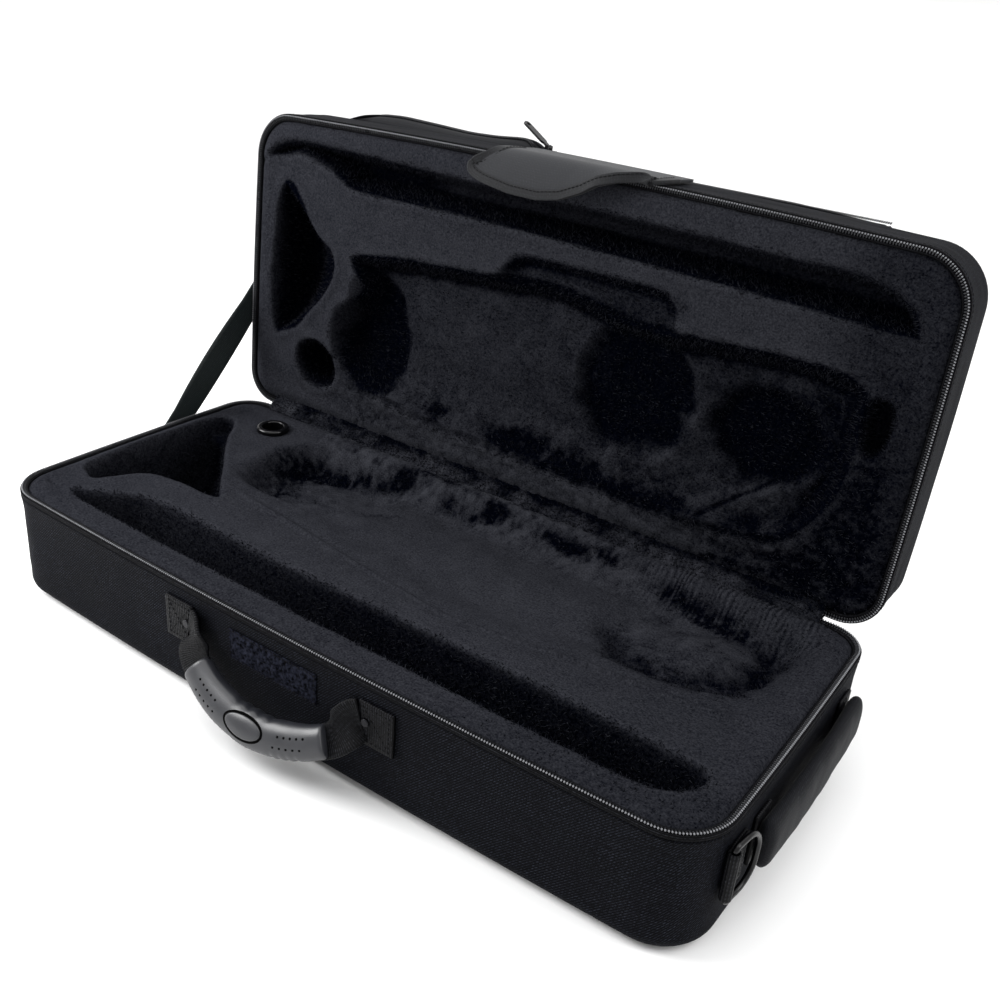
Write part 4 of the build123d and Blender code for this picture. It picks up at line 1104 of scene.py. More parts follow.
def tuftTree():
    tree, given = newTree("scatterTufts", ("Tuft", "Object", None), ("Density", "Float", 400000.0),
                          ("Lean", "Float", 0.7), ("Lightest", "Float", 0.5), ("Seed", "Int", 4))
    seed = given["Seed"]
    ruffle = outputOf(addNode(tree, "GeometryNodeInputNamedAttribute", {"Name": "ruffle"}, data_type="FLOAT"))
    density = mathOf(tree, "MULTIPLY", ruffle, given["Density"])
    spread = addNode(tree, "GeometryNodeDistributePointsOnFaces",
                     {"Mesh": given["Geometry"], "Density": density, "Seed": seed}).outputs
    tuft = addNode(tree, "GeometryNodeObjectInfo", {"Object": given["Tuft"]}).outputs["Geometry"]
    least, most = (
        addNode(tree, "ShaderNodeVectorMath", {0: corner, "Scale": given["Lean"]},
                operation="SCALE").outputs[0]
        for corner in ((-1, -1, -0.2), (1, 1, 0.2)))
    lean = randomOf(tree, least, most, seed, "FLOAT_VECTOR")
    upright = addNode(tree, "ShaderNodeVectorMath", {0: spread["Normal"], 1: lean},
                      operation="ADD").outputs[0]
    facing = alignedTo(tree, "Z", {"Vector": upright})
    size = randomOf(tree, 0.6, 1.25, seed)
    tone = randomOf(tree, 0.0, given["Lightest"], seed)
    toned = addNode(tree, "GeometryNodeStoreNamedAttribute",
                    {"Geometry": spread["Points"], "Name": "lay", "Value": tone},
                    data_type="FLOAT", domain="POINT").outputs[0]
    return closeTree(tree, toned, tuft, facing, size, given["Material"])


scattered = tuftTree()
tufts = {"height": 2.4, "width": 0.8, "root": -0.3, "density": 380000.0, "lean": 1.1, "lightest": 0.38}
tuftFoot = [(math.cos(a) * tufts["width"] / 2 * mm, math.sin(a) * tufts["width"] / 2 * mm, tufts["root"] * mm)
            for a in (0.0, 2.1, 4.2)]
tuftShape = unitObject("tuft", tuftFoot + [(0, 0, tufts["height"] * mm)],
                       [(2, 1, 0), (0, 1, 3), (1, 2, 3), (2, 0, 3)])


# loose tufts where the pile is ruffled and along the edges of the recesses
def makeTufts(name, insert, seed):
    values = {"Tuft": tuftShape, "Density": tufts["density"], "Lean": tufts["lean"], "Seed": seed,
              "Lightest": tufts["lightest"], "Material": linedPlush}
    return runTree(linkPiece(name, insert.data.copy(), None), scattered, values)


baseInsert = makeInsert("basePlushInsert", baseField, baseMatrix, 51)
lidInsert = makeInsert("lidPlushInsert", lidField, lidMatrix, 61)
finishPiece(makeTufts("basePlushTufts", baseInsert, 5), "base", "plush")
finishPiece(makeTufts("lidPlushTufts", lidInsert, 9), "lid", "plush")
for insert, body, node in ((baseInsert, "base", "base_liner"), (lidInsert, "lid", "lid_liner")):
    finishPiece(insert, body, "plush", node)
print("plush inserts made")


# hinge: the plush runs on over the fold inside, a strip of nylon covers it outside
hingeCloth = {"halfLength": 247, "furrow": 3.7, "reach": 8.5, "step": 0.9, "zipGap": 200,
              "plushThickness": 1.2,
              "clothThickness": 1.0}


def lidPoint(x, s, z):
    p = lidMatrix @ Vector((x, halfWidth - s, z))
    return np.array(p) / mm


def makeHinge():
    step, reach = hingeCloth["step"], hingeCloth["reach"]
    xs = np.arange(-hingeCloth["halfLength"], hingeCloth["halfLength"] + step, step)
    grid = []
    for x in xs:
        low = np.array([x, halfWidth - reach, 82.3])
        high = lidPoint(x, reach, lidRim - 1.9)
        # past the ends of the zip gap the strip keeps clear of the coil
        inset, crest = (2.5, 84.4) if abs(x) < hingeCloth["zipGap"] else (6.0, 87.0)
        corner = np.array([x, halfWidth - inset, crest])
        wave = math.sin((x + 2.2 * softNoise(x, 0, 11, 71)) * 2 * math.pi / hingeCloth["furrow"])
        path = []
        for t in np.linspace(0, 1, 12):
            p = (1 - t) ** 2 * low + 2 * t * (1 - t) * corner + t * t * high
            swell = math.sin(math.pi * t)
            p = p + np.array([0, -0.71, 0.71]) * swell * (0.06 * wave + 0.5 * softNoise(x, t * 20, 5, 72))
            path.append(p)
        grid.append(path)
    grid = np.array(grid)
    strip = gridPiece("hingePlush", grid, linedPlush)
    turnOutward(thicken(strip, hingeCloth["plushThickness"], -1))
    x, height = (np.array([v.co[k] for v in strip.data.vertices]) / mm for k in (0, 2))
    # the tone follows the furrows a little, painted light and shade of their relief, and varies at random
    tone = 0.36 + 0.04 * np.sin((x + 2.2 * softNoise(x, 0 * x, 11, 71)) * 2 * math.pi / hingeCloth["furrow"])
    tone += 0.22 * softNoise(x, height * 2, 6, 73)
    # painted shade: darker high up near the lid, except towards the left end
    tone -= 0.34 * smoothStep(86, 91, height) * smoothStep(-240, -60, x)
    tone += 0.22 * softNoise(x, height, 17, 74)
    addAttribute(strip.data, "lay", np.clip(tone, 0, 1))
    addAttribute(strip.data, "ruffle", np.clip(1.25 - tone, 0, 1))
    bodies = ("base", "lid")
    start, end = (0, (halfWidth - 4) * mm, 0.0825), (0, (halfWidth + 2) * mm, 0.0885)
    bendPiece(makeTufts("hingePlushTufts", strip, 13), bodies, start, end, "plush")
    bendPiece(strip, bodies, start, end, "plush", "hinge_lining")
    outside = []
    for x in np.linspace(-hingeCloth["halfLength"], hingeCloth["halfLength"], 60):
        path = [np.array([x, halfWidth + 0.9, z]) for z in (71, 75, 79, 81.5)]
        path.append(np.array([x, halfWidth + 1.6, 83.4]))
        path += [lidPoint(x, -0.9, z) for z in (51.5, 49, 45, 41)]
        outside.append(path)
    cloth = gridPiece("hingeCloth", outside, nylonTwill)
    turnOutward(thicken(cloth, hingeCloth["clothThickness"]))
    back = (halfWidth + 1) * mm
    bendPiece(cloth, bodies, (0, back, 0.0815), (0, back, 0.0865), "nylon", "hinge_fabric")


makeHinge()


# flat strap along a line in millimetres; across is the way its width runs
def strapPiece(name, line, across, width, thick, material, place=baseMatrix, crown=0.0):
    line = np.asarray(line, float)
    count = len(line)
    across = np.array(np.broadcast_to(np.asarray(across, float), (count, 3)))
    tangent = np.gradient(line, axis=0)
    tangent /= np.linalg.norm(tangent, axis=1)[:, None]
    across -= tangent * (across * tangent).sum(axis=1)[:, None]
    across /= np.linalg.norm(across, axis=1)[:, None]
    normal = np.cross(tangent, across)
    half = np.broadcast_to(np.asarray(width, float) / 2, count)
    h = thick / 2
    top = [(t, h * (0.35 if abs(t) == 1 else 1) + crown * (1 - t * t))
           for t in (-1, -0.96, -0.7, -0.35, 0, 0.35, 0.7, 0.96, 1)]
    ring = top + [(t, -v + 2 * crown * (1 - t * t)) for t, v in top[::-1]]
    grid = np.array([[p + a * t * w + n * v for t, v in ring]
                     for p, a, n, w in zip(line, across, normal, half)])
    return turnOutward(gridPiece(name, grid, material, place, closeRows=True, caps=True))


def bezier(points, count):
    t = np.linspace(0, 1, count)[:, None]
    a, b, c, d = (np.asarray(p, float) for p in points)
    return (1 - t) ** 3 * a + 3 * t * (1 - t) ** 2 * b + 3 * t * t * (1 - t) * c + t ** 3 * d


def frontWall(x, z, out):
    return np.array([x, -halfWidth - case["frontBow"] * (1 - (x / halfLength) ** 2) - out, z])


def endWall(y, z, out, side=1):
    return np.array([side * (halfLength + case["endBow"] * (1 - (y / halfWidth) ** 2) + out), y, z])


# a box with a cross in it, as straight runs between corners
def boxCross(low, high):
    (a, b), (c, d) = low, high
    return [((a, b), (c, b)), ((c, b), (c, d)), ((c, d), (a, d)), ((a, d), (a, b)), ((a, b), (c, d)),
            ((a, d), (c, b))]


# runs of stitches between the pairs of points, laid on a surface
def seamRuns(runs, onto, up):
    made = []
    for start, finish in runs:
        start, finish = np.array(start, float), np.array(finish, float)
        count = max(3, int(np.linalg.norm(finish - start) / 2))
        line = np.array([onto(*(start + (finish - start) * t)) for t in np.linspace(0, 1, count)])
        made.append((toWorld(line, baseMatrix), up))
    return made


def sewSeam(name, runs, thread, body, unevenness=0.0):
    seam = repeatAlong(name, runs, stitch, strapSeam["pitch"] * mm, thread, unevenness)
    finishPiece(seam, body, "webbing")


# 1 or -1 towards the ends, flattened like a rounded square's sides
def squared(value, power):
    return abs(value) ** (2 / power) * math.copysign(1, value)


stitch = stitchUnit(2.4 * mm, 0.6 * mm, 0.45 * mm)
strapSeam = {"pitch": 3.1, "inset": 3.2}


# carry handle
handle = {
    "centreX": -1.5, "axisHeight": 57, "anchorGap": 140, "anchorWidth": 25, "anchorHeight": 30,
    "anchorTop": 70.6,
    "webbingWidth": 27, "webbingThickness": 2.6, "gripSpan": 110, "endReach": 21, "midReach": 37,
    "gripWidth": 23, "gripThickness": 16,
    "droop": 60, "patchX": -3, "patchTop": 70.0, "patchWidth": 74, "patchHeight": 23, "dotPitch": 4.3,
    "anchorThickness": 2.2, "grooves": (22, 27.5, 33, 38.5), "fingers": (-14, -4, 6, 16), "dimple": 0.8,
}
handlePivot = np.array([handle["centreX"], -halfWidth - case["frontBow"] - 0.15 - 1.2, handle["axisHeight"]])


def makeAnchors():
    runs = []
    for side, name, node in ((-1, "handleAnchorLeft", "handle_anchor_left"),
                             (1, "handleAnchorRight", "handle_anchor_right")):
        inner = handle["centreX"] + side * handle["anchorGap"] / 2
        outer = inner + side * handle["anchorWidth"]
        middle = handle["anchorTop"] - handle["anchorHeight"] / 2
        line = [frontWall(x, middle, 1.3) for x in np.linspace(outer, inner, 12)]
        piece = strapPiece(name, line, (0, 0, 1), handle["anchorHeight"], handle["anchorThickness"],
                           ribbedWebbing)
        finishPiece(piece, "base", "webbing", node)
        i, half = strapSeam["inset"], handle["anchorHeight"] / 2
        low, high = (min(inner, outer) + i, middle - half + i), (max(inner, outer) - i, middle + half - i)
        runs += seamRuns(boxCross(low, high), lambda x, z: frontWall(x, z, 2.5), (0, -1, 0))
    x, w, top, h = handle["patchX"], handle["patchWidth"] / 2, handle["patchTop"], handle["patchHeight"]
    border = boxCross((x - w + 1.6, top - h + 1.6), (x + w - 1.6, top - 1.6))[:4]
    runs += seamRuns(border, lambda x, z: frontWall(x, z, 1.1), (0, -1, 0))
    sewSeam("frontStitching", runs, seamThread, "base", 0.15)


# loop side of the closure: rough looped pile inside a flat woven border
def makeLoopPatch():
    w, h, top = handle["patchWidth"], handle["patchHeight"], handle["patchTop"]
    xs, zs = np.arange(0, w + 0.01, 0.8), np.arange(0, h + 0.01, 0.8)
    x, z = np.meshgrid(xs, zs, indexing="ij")
    edge = np.minimum(np.minimum(x, w - x), np.minimum(z, h - z))
    pile = smoothStep(2.6, 4.2, edge) * (0.75 + 0.95 * softNoise(x, z, 1.9, 81)
                                         + 0.35 * softNoise(x, z, 4.5, 82))
    out = 0.9 * smoothStep(-0.2, 0.6, edge) + np.maximum(pile, 0) * 0.8
    grid = np.array([[frontWall(handle["patchX"] - w / 2 + a, top - h + b, o) for a, b, o in zip(ra, rb, ro)]
                     for ra, rb, ro in zip(x, z, out)])
    front = gridPiece("loopPatch", grid, loopPile)
    with edited(front) as mesh:
        for v in drawnBorder(mesh):
            v.co.y = frontWall(v.co.x / mm, 0, 0.16)[1] * mm
        fillHoles(mesh)
    finishPiece(turnOutward(front), "base", "hook_and_loop", "front_loop_patch")


droop = math.radians(handle["droop"])
gripFrame = np.array([[1, 0, 0], [0, math.cos(droop), math.sin(droop)],
                      [0, -math.sin(droop), math.cos(droop)]])
arcRise = handle["midReach"] - handle["endReach"]
arcRadius = ((handle["gripSpan"] / 2) ** 2 + arcRise ** 2) / (2 * arcRise)
arcHalf = math.asin(handle["gripSpan"] / 2 / arcRadius)
gripHalf = arcRadius * arcHalf


# a point of the grip, s along it from the middle, w out across it, lift along the handle plane's normal
def gripPoint(s, w, lift):
    a = s / arcRadius
    r = arcRadius + w
    local = np.array([r * math.sin(a), (arcRadius - handle["midReach"]) - r * math.cos(a), lift])
    return handlePivot + local @ gripFrame


def gripTaper(s):
    near = min(1, (gripHalf - abs(s)) / 3.0)
    ends = 0.86 + 0.14 * math.sqrt(near * (2 - near))
    return ends * (1 - 0.10 * smoothStep(20, gripHalf, abs(s)) + 0.05 * smoothStep(16, 0, abs(s)))


def gripTop(s, w):
    taper = gripTaper(s)
    halfWide, halfThick = handle["gripWidth"] / 2 * taper, handle["gripThickness"] / 2 * taper
    return halfThick * (1 - abs(w / halfWide) ** 2.3) ** (1 / 2.3)


def makeGrip():
    halfWide, halfThick = handle["gripWidth"] / 2, handle["gripThickness"] / 2
    rows = 56
    grid = []
    for s in np.linspace(-gripHalf, gripHalf, 150):
        taper = gripTaper(s)
        grooves = sum(math.exp(-((s - g) / 1.5) ** 2) for g in handle["grooves"])
        fingers = sum(math.exp(-((s - g) / 3.2) ** 2) for g in handle["fingers"])
        ring = []
        for k in range(rows):
            a = 2 * math.pi * k / rows
            c, n = math.cos(a), math.sin(a)
            w = halfWide * squared(c, 2.3) * taper
            w -= 0.9 * grooves * max(0, c) ** 3
            w += 1.1 * fingers * max(0, -c) ** 3
            ring.append(gripPoint(s, w, halfThick * squared(n, 2.3) * taper))
        grid.append(ring)
    grip = turnOutward(gridPiece("rubberGrip", grid, softRubber, closeRows=True, caps=True))
    finishPiece(grip, "carry_handle", "grip_rubber", "handle_grip")
    # small round dimples in two rows on each half
    dots = []
    pitch, radius = handle["dotPitch"], handle["dimple"] * mm
    for side in (-1, 1):
        for w, first in ((-2.2, 27.3), (4.2, 24.8)):
            line = [gripPoint(side * s, w, gripTop(s, w) - 0.34) * mm
                    for s in np.linspace(first, first + 4.3 * pitch, 16)]
            dots.append((np.array(line), tuple(gripFrame[2])))
    rim = [(math.cos(k * math.pi / 6) * radius, math.sin(k * math.pi / 6) * radius, z)
           for z in (-0.4 * mm, 0.42 * mm) for k in range(12)]
    faces = [tuple(range(12))[::-1], tuple(range(12, 24))]
    faces += [(k, (k + 1) % 12, 12 + (k + 1) % 12, 12 + k) for k in range(12)]
    dimples = repeatAlong("gripDimples", dots, unitObject("dimple", rim, faces), pitch * mm, dimpleRubber)
    finishPiece(dimples, "carry_handle", "grip_rubber")
    # oval plate in the middle, set in a dark groove
    for name, a, b, rise, sunk, material, *nodes in (("gripGroove", 16.3, 8.2, 0.08, 0, dimpleRubber),
                                                     ("gripPlate", 14.5, 6.6, 0.45, 0.3,
                                                      satinPlastic, "grip_badge")):
        grid = []
        for k in range(48):
            t = 2 * math.pi * k / 48
            ring = []
            for q in (0.05, 0.4, 0.7, 0.9, 1.0):
                s, w = a * q * math.cos(t), b * q * math.sin(t)
                ring.append(gripPoint(s, w, gripTop(s, w) + rise - sunk * smoothStep(0.75, 1.0, q)))
            ring.append(gripPoint(s, w, gripTop(s, w) - 1.4))
            grid.append(ring)
        plate = gridPiece(name, grid, material, closeColumns=True)
        with edited(plate) as mesh:
            fillHoles(mesh)
        finishPiece(turnOutward(plate), "carry_handle", "badge_plastic", *nodes)


# webbing that leaves the wall upright and turns into the grip's end
def makeHandleWebbing(side, name, node):
    inner = handle["centreX"] + side * handle["anchorGap"] / 2
    tip = gripPoint(side * (gripHalf - 3), 0, 0)
    before = gripPoint(side * (gripHalf + 13), 2.5, 0)
    start = np.array([inner + side * 1.5, handlePivot[1] - 0.9, handle["axisHeight"] + 0.5])
    lead = start + np.array([-side * 9.0, -1.0, -2.0])
    along = np.linspace(0, 1, 40)
    share = smoothStep(0.1, 0.75, along)[:, None]
    a = arcHalf * side
    inPlane = np.array([math.sin(a), -math.cos(a), 0]) @ gripFrame
    across = np.array([0, 0, 1.0]) * (1 - share) - inPlane * share
    width = handle["webbingWidth"] - 6.0 * smoothStep(0.35, 0.95, along)
    piece = strapPiece(name, bezier((start, lead, before, tip), 40), across, width,
                       handle["webbingThickness"],
                       ribbedWebbing, crown=0.5)
    bendPiece(piece, ("base", "carry_handle"), start * mm, tip * mm, "webbing", node)


makeAnchors()
makeLoopPatch()
makeGrip()
makeHandleWebbing(-1, "handleWebbingLeft", "handle_webbing_left")
makeHandleWebbing(1, "handleWebbingRight", "handle_webbing_right")
print("carry handle made")


# end handle and the loops of the strap rings
endHandle = {"low": -61, "high": 82, "z": 49, "height": 33, "thickness": 11, "tab": 18, "tabThickness": 2.3}
ringPlace = {"y": -92, "z": 51, "bar": 3.9, "loopHeight": 32, "turn": 2.75, "layer": 1.35}


def makeEndHandle():
    low, high, z0 = endHandle["low"], endHandle["high"], endHandle["z"]
    grid = []
    for t in np.linspace(0, 1, 72):
        y = low + (high - low) * t
        near = min(1, min(t, 1 - t) * (high - low) / 7)
        full = math.sqrt(near * (2 - near))
        gap = 2.6 + 1.2 * math.sin(math.pi * t) ** 0.8
        halfThick = endHandle["thickness"] / 2 * (0.45 + 0.55 * full) * (
            0.95 + 0.05 * float(softNoise(y, 0, 24, 91)))
        halfHigh = endHandle["height"] / 2 * (0.72 + 0.28 * full)
        ring = []
        for k in range(40):
            a = 2 * math.pi * k / 40
            c, n = math.cos(a), math.sin(a)
            out, up = squared(c, 2.4) * halfThick, squared(n, 3.2) * halfHigh
            crease = 0.35 * float(softNoise(y, up, 9, 92)) * (c > 0.2)
            ring.append(endWall(y, z0 + up, gap + endHandle["thickness"] / 2 + out + crease - 0.4))
        grid.append(ring)
    pad = turnOutward(gridPiece("endHandlePad", grid, pocketTwill, closeRows=True, caps=True))
    finishPiece(pad, "base", "nylon", "end_handle_pad")
    halves = []
    for start, finish in ((low, low + endHandle["tab"]), (high - endHandle["tab"], high)):
        line = [endWall(y, z0, 1.45) for y in np.linspace(start, finish, 10)]
        halves.append(strapPiece("endTab", line, (0, 0, 1), endHandle["height"], endHandle["tabThickness"],
                                 ribbedWebbing))
    finishPiece(joinPieces("endHandleTabs", halves), "base", "webbing", "end_handle_tabs")


def joinPieces(name, pieces):
    mesh = bmesh.new()
    for piece in pieces:
        mesh.from_mesh(piece.data)
    first = pieces[0]
    mesh.to_mesh(first.data)
    mesh.free()
    first.name = name
    for piece in pieces[1:]:
        bpy.data.objects.remove(piece)
    return first


# webbing folded round the ring's straight bar, its two layers sewn together to the wall
def makeRingLoop(side, name, node):
    bar, z0, bend = ringPlace["y"], ringPlace["z"], ringPlace["bar"]
    turn = ringPlace["turn"]
    path = [(bar + 19.5, 0.95), (bar + 12, 0.95), (bar + 5, 1.0)]
    path += [(bar + turn * math.cos(math.radians(a)), bend - turn * math.sin(math.radians(a)))
             for a in np.linspace(60, 300, 13)]
    path += [(bar + 4.6, 3.3), (bar + 9, 2.75), (bar + 14, 2.55), (bar + 19.0, 2.5)]
    line = [endWall(y, z0, out, side) for y, out in path]
    loop = strapPiece("ringLoop" + name, line, (0, 0, 1), ringPlace["loopHeight"], ringPlace["layer"],
                      ribbedWebbing)
    finishPiece(loop, "base", "webbing", node)
    half = ringPlace["loopHeight"] / 2 - 3
    box = boxCross((bar + 8, z0 - half), (bar + 17.5, z0 + half))
    runs = seamRuns(box, lambda y, z: endWall(y, z, 3.4, side), (side, 0, 0))
    sewSeam("ringLoopSeam" + name, runs, sewingThread, "base")


makeEndHandle()
makeRingLoop(1, "Right", "d_ring_loop_right")
makeRingLoop(-1, "Left", "d_ring_loop_left")

# the stay that holds the lid open
stay = {"x": -halfLength - 3.6, "baseY": 48, "lidReach": 77, "width": 22, "sewn": 24, "margin": 18,
        "thickness": 1.5, "sewnThickness": 2.1, "sag": 1.6, "turn": 14}


def makeStay():
    foot = np.array([stay["x"], stay["baseY"], case["baseHeight"]])
    head = lidPoint(0, stay["lidReach"], lidRim + 0.4)
    head[0] = stay["x"]
    span = np.linalg.norm(head - foot)
    along = (head - foot) / span
    flat = np.cross(along, (1, 0, 0))
    t = np.linspace(-stay["margin"], span + stay["margin"], 70)
    sag = np.sin(np.clip(t / span, 0, 1) * math.pi)
    line = foot + along * t[:, None] + np.outer(sag, (-stay["sag"], 0, 0)) + flat * (0.8 * sag)[:, None]
    turn = np.radians(stay["turn"]) * sag
    across = flat * np.cos(turn)[:, None] + np.outer(np.sin(turn), (1, 0, 0))
    strap = strapPiece("stayStrap", line, across, stay["width"], stay["thickness"], stayWebbing)
    bendPiece(strap, ("base", "lid"), foot * mm, head * mm, "stay_webbing", "stay_strap")
    low, high = -stay["margin"] - stay["sewn"] - 0.3, span + stay["margin"] + 0.3
    for start, name, node, body in ((low, "stayAnchorBase", "stay_anchor_base", "base"),
                                    (high, "stayAnchorLid", "stay_anchor_lid", "lid")):
        line = [foot + along * (start + d) + np.array([0.35, 0, 0]) for d in np.linspace(0, stay["sewn"], 8)]
        finishPiece(strapPiece(name, line, flat, stay["width"], stay["sewnThickness"], stayWebbing), body,
                    "webbing",
                    node)
        centre, out = foot + along * (start + stay["sewn"] / 2), np.array([-0.95, 0, 0])
        h, w = stay["sewn"] / 2 - 2.5, stay["width"] / 2 - 2.5
        runs = seamRuns(boxCross((-h, -w), (h, w)), lambda a, b: centre + along * a + flat * b + out,
                        (-1, 0, 0))
        sewSeam(name + "Seam", runs, sewingThread, body)


makeStay()
print("end handle, rings and stay made")


# flap, draped over the open lid's rim; its free edge is given as x and distance from the hinge
flap = {
    "rootLeft": -40, "rootRight": 84, "rootDepth": 16, "crest": 46, "thickness": 1.9, "binding": 7.0,
    "stitchPitch": 3.0,
    "edge": [(-60, 236), (-62.5, 231), (-61.5, 227.5), (-57, 225), (-50, 223), (-28, 219.5), (-6, 219),
             (11, 222), (27, 229), (38, 236), (50, 240.5), (60, 242.5), (69, 243.8), (75, 244.6),
             (77, 245.4)],
}


def lidFront(x, out):
    return halfWidth * 2 + case["frontBow"] * (1 - (x / halfLength) ** 2) + out


def flapGrid(columns=90, rows=46):
    edge = np.array(flap["edge"], float)
    lengths = lengthsAlong(np.linalg.norm(np.diff(edge, axis=0), axis=1))
    grid = []
    for a in np.linspace(0, 1, columns):
        ex, es = (np.interp(a * lengths[-1], lengths, edge[:, k]) for k in (0, 1))
        rootX = flap["rootLeft"] + (flap["rootRight"] - flap["rootLeft"]) * a
        crestX = rootX * 0.55 + ex * 0.45
        lift = 1.4 * math.sin(math.pi * a) + 0.5 * float(softNoise(a * 100, 0, 23, 95))
        hug = float(smoothStep(0.70, 0.98, a))
        root = np.array([rootX, lidFront(rootX, 2.2), flap["rootDepth"]])
        bend = np.array([rootX * 0.75 + ex * 0.25, lidFront(crestX, 3.0 - 0.8 * hug), flap["crest"]])
        top = np.array([crestX, lidFront(crestX, 2.8 - 0.9 * hug), 61.5 + lift - 7.0 * hug])
        free = np.array([ex, es - 1.2 * hug, 64.5 - 9.0 * hug + 0.8 * math.sin(a * 9) * (1 - hug)])
        column = []
        for b in np.linspace(0, 1, rows):
            if b < 0.45:
                column.append(root + (bend - root) * b / 0.45)
            else:
                t = (b - 0.45) / 0.55
                column.append((1 - t) ** 2 * bend + 2 * t * (1 - t) * top + t * t * free)
        grid.append(column)
    grid = np.array(grid)
    grid[:, :, 1] = halfWidth - grid[:, :, 1]
    return grid


def makeFlap():
    grid = flapGrid()
    cloth = gridPiece("flapCloth", grid, flapNylon, lidMatrix)
    turnOutward(thicken(cloth, flap["thickness"]))
    # the binding starts some rows out from the root and runs round the free edge
    seam = 12
    border = np.concatenate([grid[0, seam:], grid[1:-1, -1], grid[-1, seam:][::-1]])
    inner = np.concatenate([grid[4, seam:-3], np.repeat(grid[3:4, -4], 6, axis=0), grid[4:-4, -4],
                            np.repeat(grid[-4:-3, -4], 5, axis=0), grid[-5, seam:-3][::-1]])
    share = np.linspace(0, 1, len(border))
    inner = np.column_stack([np.interp(share, np.linspace(0, 1, len(inner)), inner[:, k]) for k in range(3)])
    across = inner - border
    across /= np.linalg.norm(across, axis=1)[:, None]
    for _ in range(6):
        across[1:-1] = (across[:-2] + 2 * across[1:-1] + across[2:]) / 4
        across /= np.linalg.norm(across, axis=1)[:, None]
    line = border + across * (flap["binding"] / 2 - 0.7)
    binding = strapPiece("flapBinding", line, across, flap["binding"], flap["thickness"] + 0.9, edgeBinding,
                         lidMatrix)
    normals = np.cross(np.gradient(line, axis=0), across)
    normals /= np.linalg.norm(normals, axis=1)[:, None]
    if normals[len(normals) // 2, 2] < 0:
        normals = -normals
    path = border + across * (flap["binding"] - 1.9) + normals * (flap["thickness"] / 2 + 0.75)
    ups = normals @ np.array(lidMatrix)[:3, :3].T / mm
    seams = repeatAlong("flapStitching", [(toWorld(path, lidMatrix), ups)], stitch, flap["stitchPitch"] * mm,
                        seamThread)
    # hook strip sewn under the lobe, clear of its edge
    under = grid[22:50, 36:43]
    slopes = np.cross(np.gradient(under, axis=0), np.gradient(under, axis=1))
    slopes /= np.linalg.norm(slopes, axis=2)[:, :, None]
    if slopes[14, 3, 2] > 0:
        slopes = -slopes
    hooks = gridPiece("flapHookStrip", under + slopes * (flap["thickness"] / 2 + 0.5), loopPile, lidMatrix)
    turnOutward(thicken(hooks, 1.0))
    pivot = lidMatrix @ Vector((8, halfWidth - lidFront(8, 3), flap["crest"] + 6))
    past = lidMatrix @ Vector((8, halfWidth - lidFront(8, -4), flap["crest"] + 15))
    for piece, slot, *nodes in ((cloth, "nylon", "flap_root", "flap_panel"),
                                (binding, "binding", "flap_binding"),
                                (seams, "binding"), (hooks, "hook_and_loop", "flap_hook_strip")):
        bendPiece(piece, ("lid", "flap"), pivot, past, slot, *nodes)


makeFlap()


# pocket on the lid, its zip part open so that the mouth gapes; lip is x and how far the edge stands out
pocket = {
    "half": 232, "front": -119, "back": 84, "depth": 11.5, "gape": 9.0, "gapeFrom": -234, "gapeTo": -44,
    "zipHalf": 210,
    "round": 16, "corner": 22, "hemGap": 0.4, "tape": 4.4, "coilPitch": 1.4, "panelThickness": 1.3,
    "gussetThickness": 0.8,
    "lip": [(-232, 3.0), (-227, -1.5), (-217, -4.5), (-188, -6.5), (-150, -5.5), (-121, -4.5), (-96, -5.5),
            (-71, -8.0), (-56, -6.5), (-44, -2.0), (-30, -1.2), (150, -1.2), (200, 2.5), (224, 6.0),
            (232, 9.0)],
}


def pocketGape(x):
    return (smoothStep(pocket["gapeFrom"], pocket["gapeFrom"] + 28, x)
            * smoothStep(pocket["gapeTo"], pocket["gapeTo"] - 26, x))


# the outer panel's front edge, in the lid's frame
def pocketEdge(x):
    lipX, lipOut = np.array(pocket["lip"], float).T
    out = sum(np.interp(x + d, lipX, lipOut) for d in (-6, -3, 0, 3, 6)) / 5
    ends = smoothStep(pocket["half"], pocket["half"] - 24, abs(x))
    return np.array([x, pocket["front"] + out, -pocket["depth"] * ends - pocket["gape"] * pocketGape(x)])


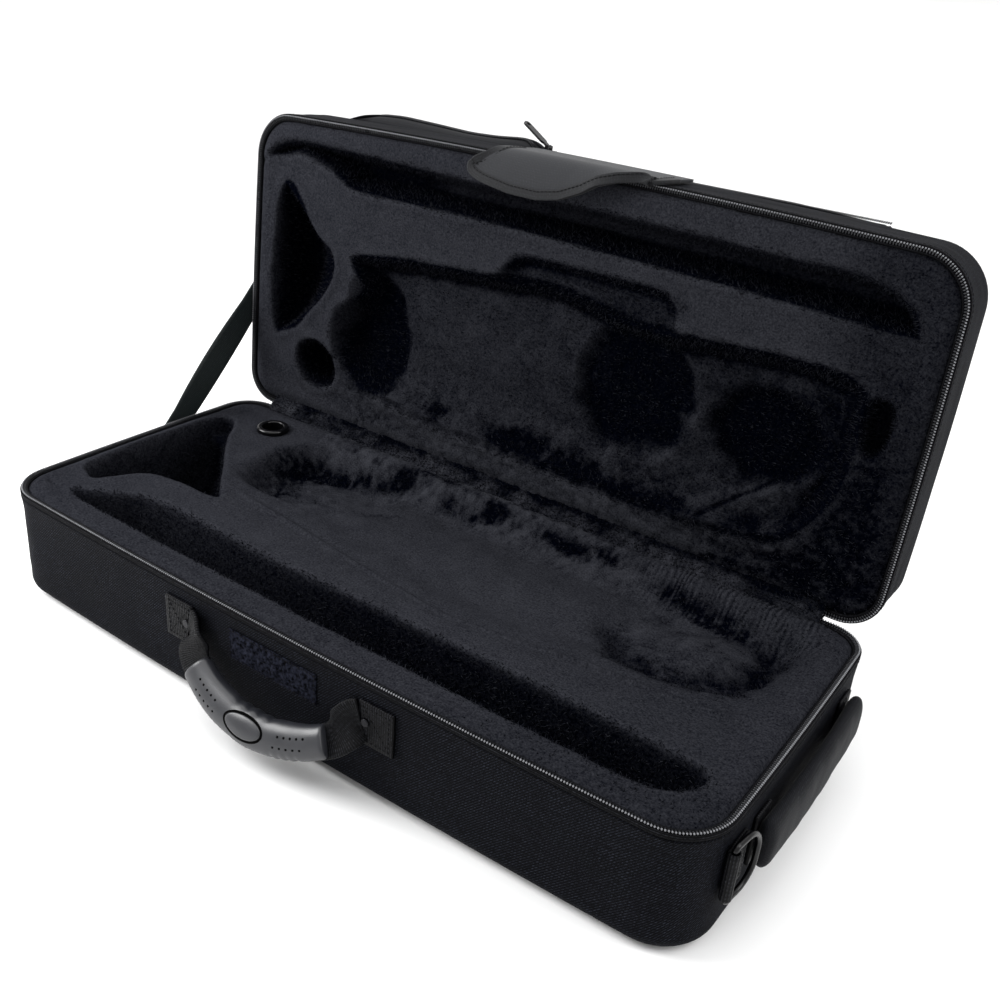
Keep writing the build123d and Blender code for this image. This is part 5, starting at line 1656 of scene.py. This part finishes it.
def makePocket():
    half, front, back, depth = (pocket[k] for k in ("half", "front", "back", "depth"))
    grid = []
    for x in np.linspace(-half, half, 130):
        lip = pocketEdge(x)
        sideEdge = half - abs(x)
        column = []
        for y in np.linspace(back, front, 60):
            backEdge = back - y
            sideRise, backRise = (min(1, e / pocket["round"]) ** 0.5 if e > 0 else 0
                                  for e in (sideEdge, backEdge))
            rise = sideRise * backRise
            corner = math.hypot(max(0, pocket["corner"] - sideEdge), max(0, pocket["corner"] - backEdge))
            rise *= float(smoothStep(24, 18, corner))
            z = -pocket["hemGap"] - depth * rise * (1 + 0.05 * float(softNoise(x, y, 60, 101))
                                       + 0.03 * float(softNoise(x, y, 22, 102)))
            z += (lip[2] + depth * sideRise) * math.exp(-((y - front) / 34) ** 2) if sideEdge > 0 else 0
            share = (1 - backEdge / (back - front))
            column.append((x, y + (lip[1] - front) * (1 - share) ** 6, min(z, -pocket["hemGap"])))
        # the panel turns in over the mouth
        end = np.array(column[-1])
        tuck = 3.2 * min(1, max(0, sideEdge) / 12)
        part = min(1, tuck)
        column += [tuple(end + np.array([0, -0.8, 0.7]) * part), tuple(end + np.array([0, -1.0, 1.6 * part])),
                   tuple(end + np.array([0, -1.0, 1.0 + tuck * 0.7]))]
        grid.append(column)
    panel = gridPiece("pocketPanel", grid, pocketTwill, lidMatrix)
    turnOutward(thicken(panel, pocket["panelThickness"]))
    finishPiece(panel, "lid", "nylon", "pocket_bag")
    # upper half of the zip rides the panel's edge, lower half stays on the lid
    upper, lower, upperLine, lowerLine = [], [], [], []
    for x in np.linspace(-pocket["zipHalf"], pocket["zipHalf"], 150):
        gape = pocketGape(x)
        lip = pocketEdge(x)
        base = np.array([x, front - 1.4, -1.6])
        meet = np.array([x, front - 1.6, -depth / 2 - 0.4])
        hang = lip + np.array([0, -1.3, 3.2])
        tip = meet * (1 - gape) + (lip + np.array([0, -0.5, 8.0])) * gape
        upper.append((hang + tip) / 2)
        upperLine.append(tip)
        rest = meet * (1 - gape) + (lip + np.array([0, -0.9, 4.2])) * gape
        lower.append([base + np.array([0, 0.9, 1.4]) + (rest - base) * t
                      + np.array([0, -1.6 * math.sin(math.pi * t) * gape, 0]) for t in np.linspace(0, 1, 8)])
        lowerLine.append(rest)
    # the gusset closes on the panel beyond both ends of the zip
    for x, at in ((-226, 0), (226, len(lower))):
        lip = pocketEdge(x)
        low, high = np.array([x, lip[1] + 1.0, -1.6]), np.array([x, lip[1] + 0.6, lip[2] + 2.5])
        lower.insert(at, [low + (high - low) * t for t in np.linspace(0, 1, 8)])
    gusset = gridPiece("pocketGusset", lower, pocketTwill, lidMatrix)
    finishPiece(turnOutward(thicken(gusset, pocket["gussetThickness"])), "lid", "nylon")
    tape = strapPiece("pocketZipTape", upper, (0, 0, 1), pocket["tape"], 0.8, zipTapeWeave, lidMatrix)
    finishPiece(tape, "lid", "zip_tape", "pocket_zip_tape")
    outward = tuple(np.array(lidMatrix)[:3, 1] / mm * -1)
    runs = [(toWorld(np.array(line) + (0, -0.7, side), lidMatrix), outward)
            for line, side in ((upperLine, -0.8), (lowerLine, 0.8))]
    turn = coilTurnUnit(2.0 * mm, 1.7 * mm, 0.7 * mm)
    coil = repeatAlong("pocketZipCoil", runs, turn, pocket["coilPitch"] * mm, nylonCoil)
    finishPiece(coil, "lid", "zip_coil", "pocket_zip_coil")


makePocket()
print("pocket made")


# CAD pieces that keep their own shape
nodeMaterials = {
    "base_shell": foamBoard, "lid_shell": foamBoard, "mouthpiece_ring": glossPlastic,
    "handle_rivets": nickelCap,
    "d_ring_right": blackLacquer, "d_ring_left": blackLacquer,
    "zip_slider_right": blackLacquer, "zip_slider_left": blackLacquer, "zip_pull_right": blackLacquer,
    "zip_pull_left": blackLacquer, "pocket_slider": blackLacquer, "pocket_pull": blackLacquer,
}
for node, material in nodeMaterials.items():
    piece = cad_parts[node]
    piece.data.materials.clear()
    piece.data.materials.append(material)
print("carried-over pieces finished")
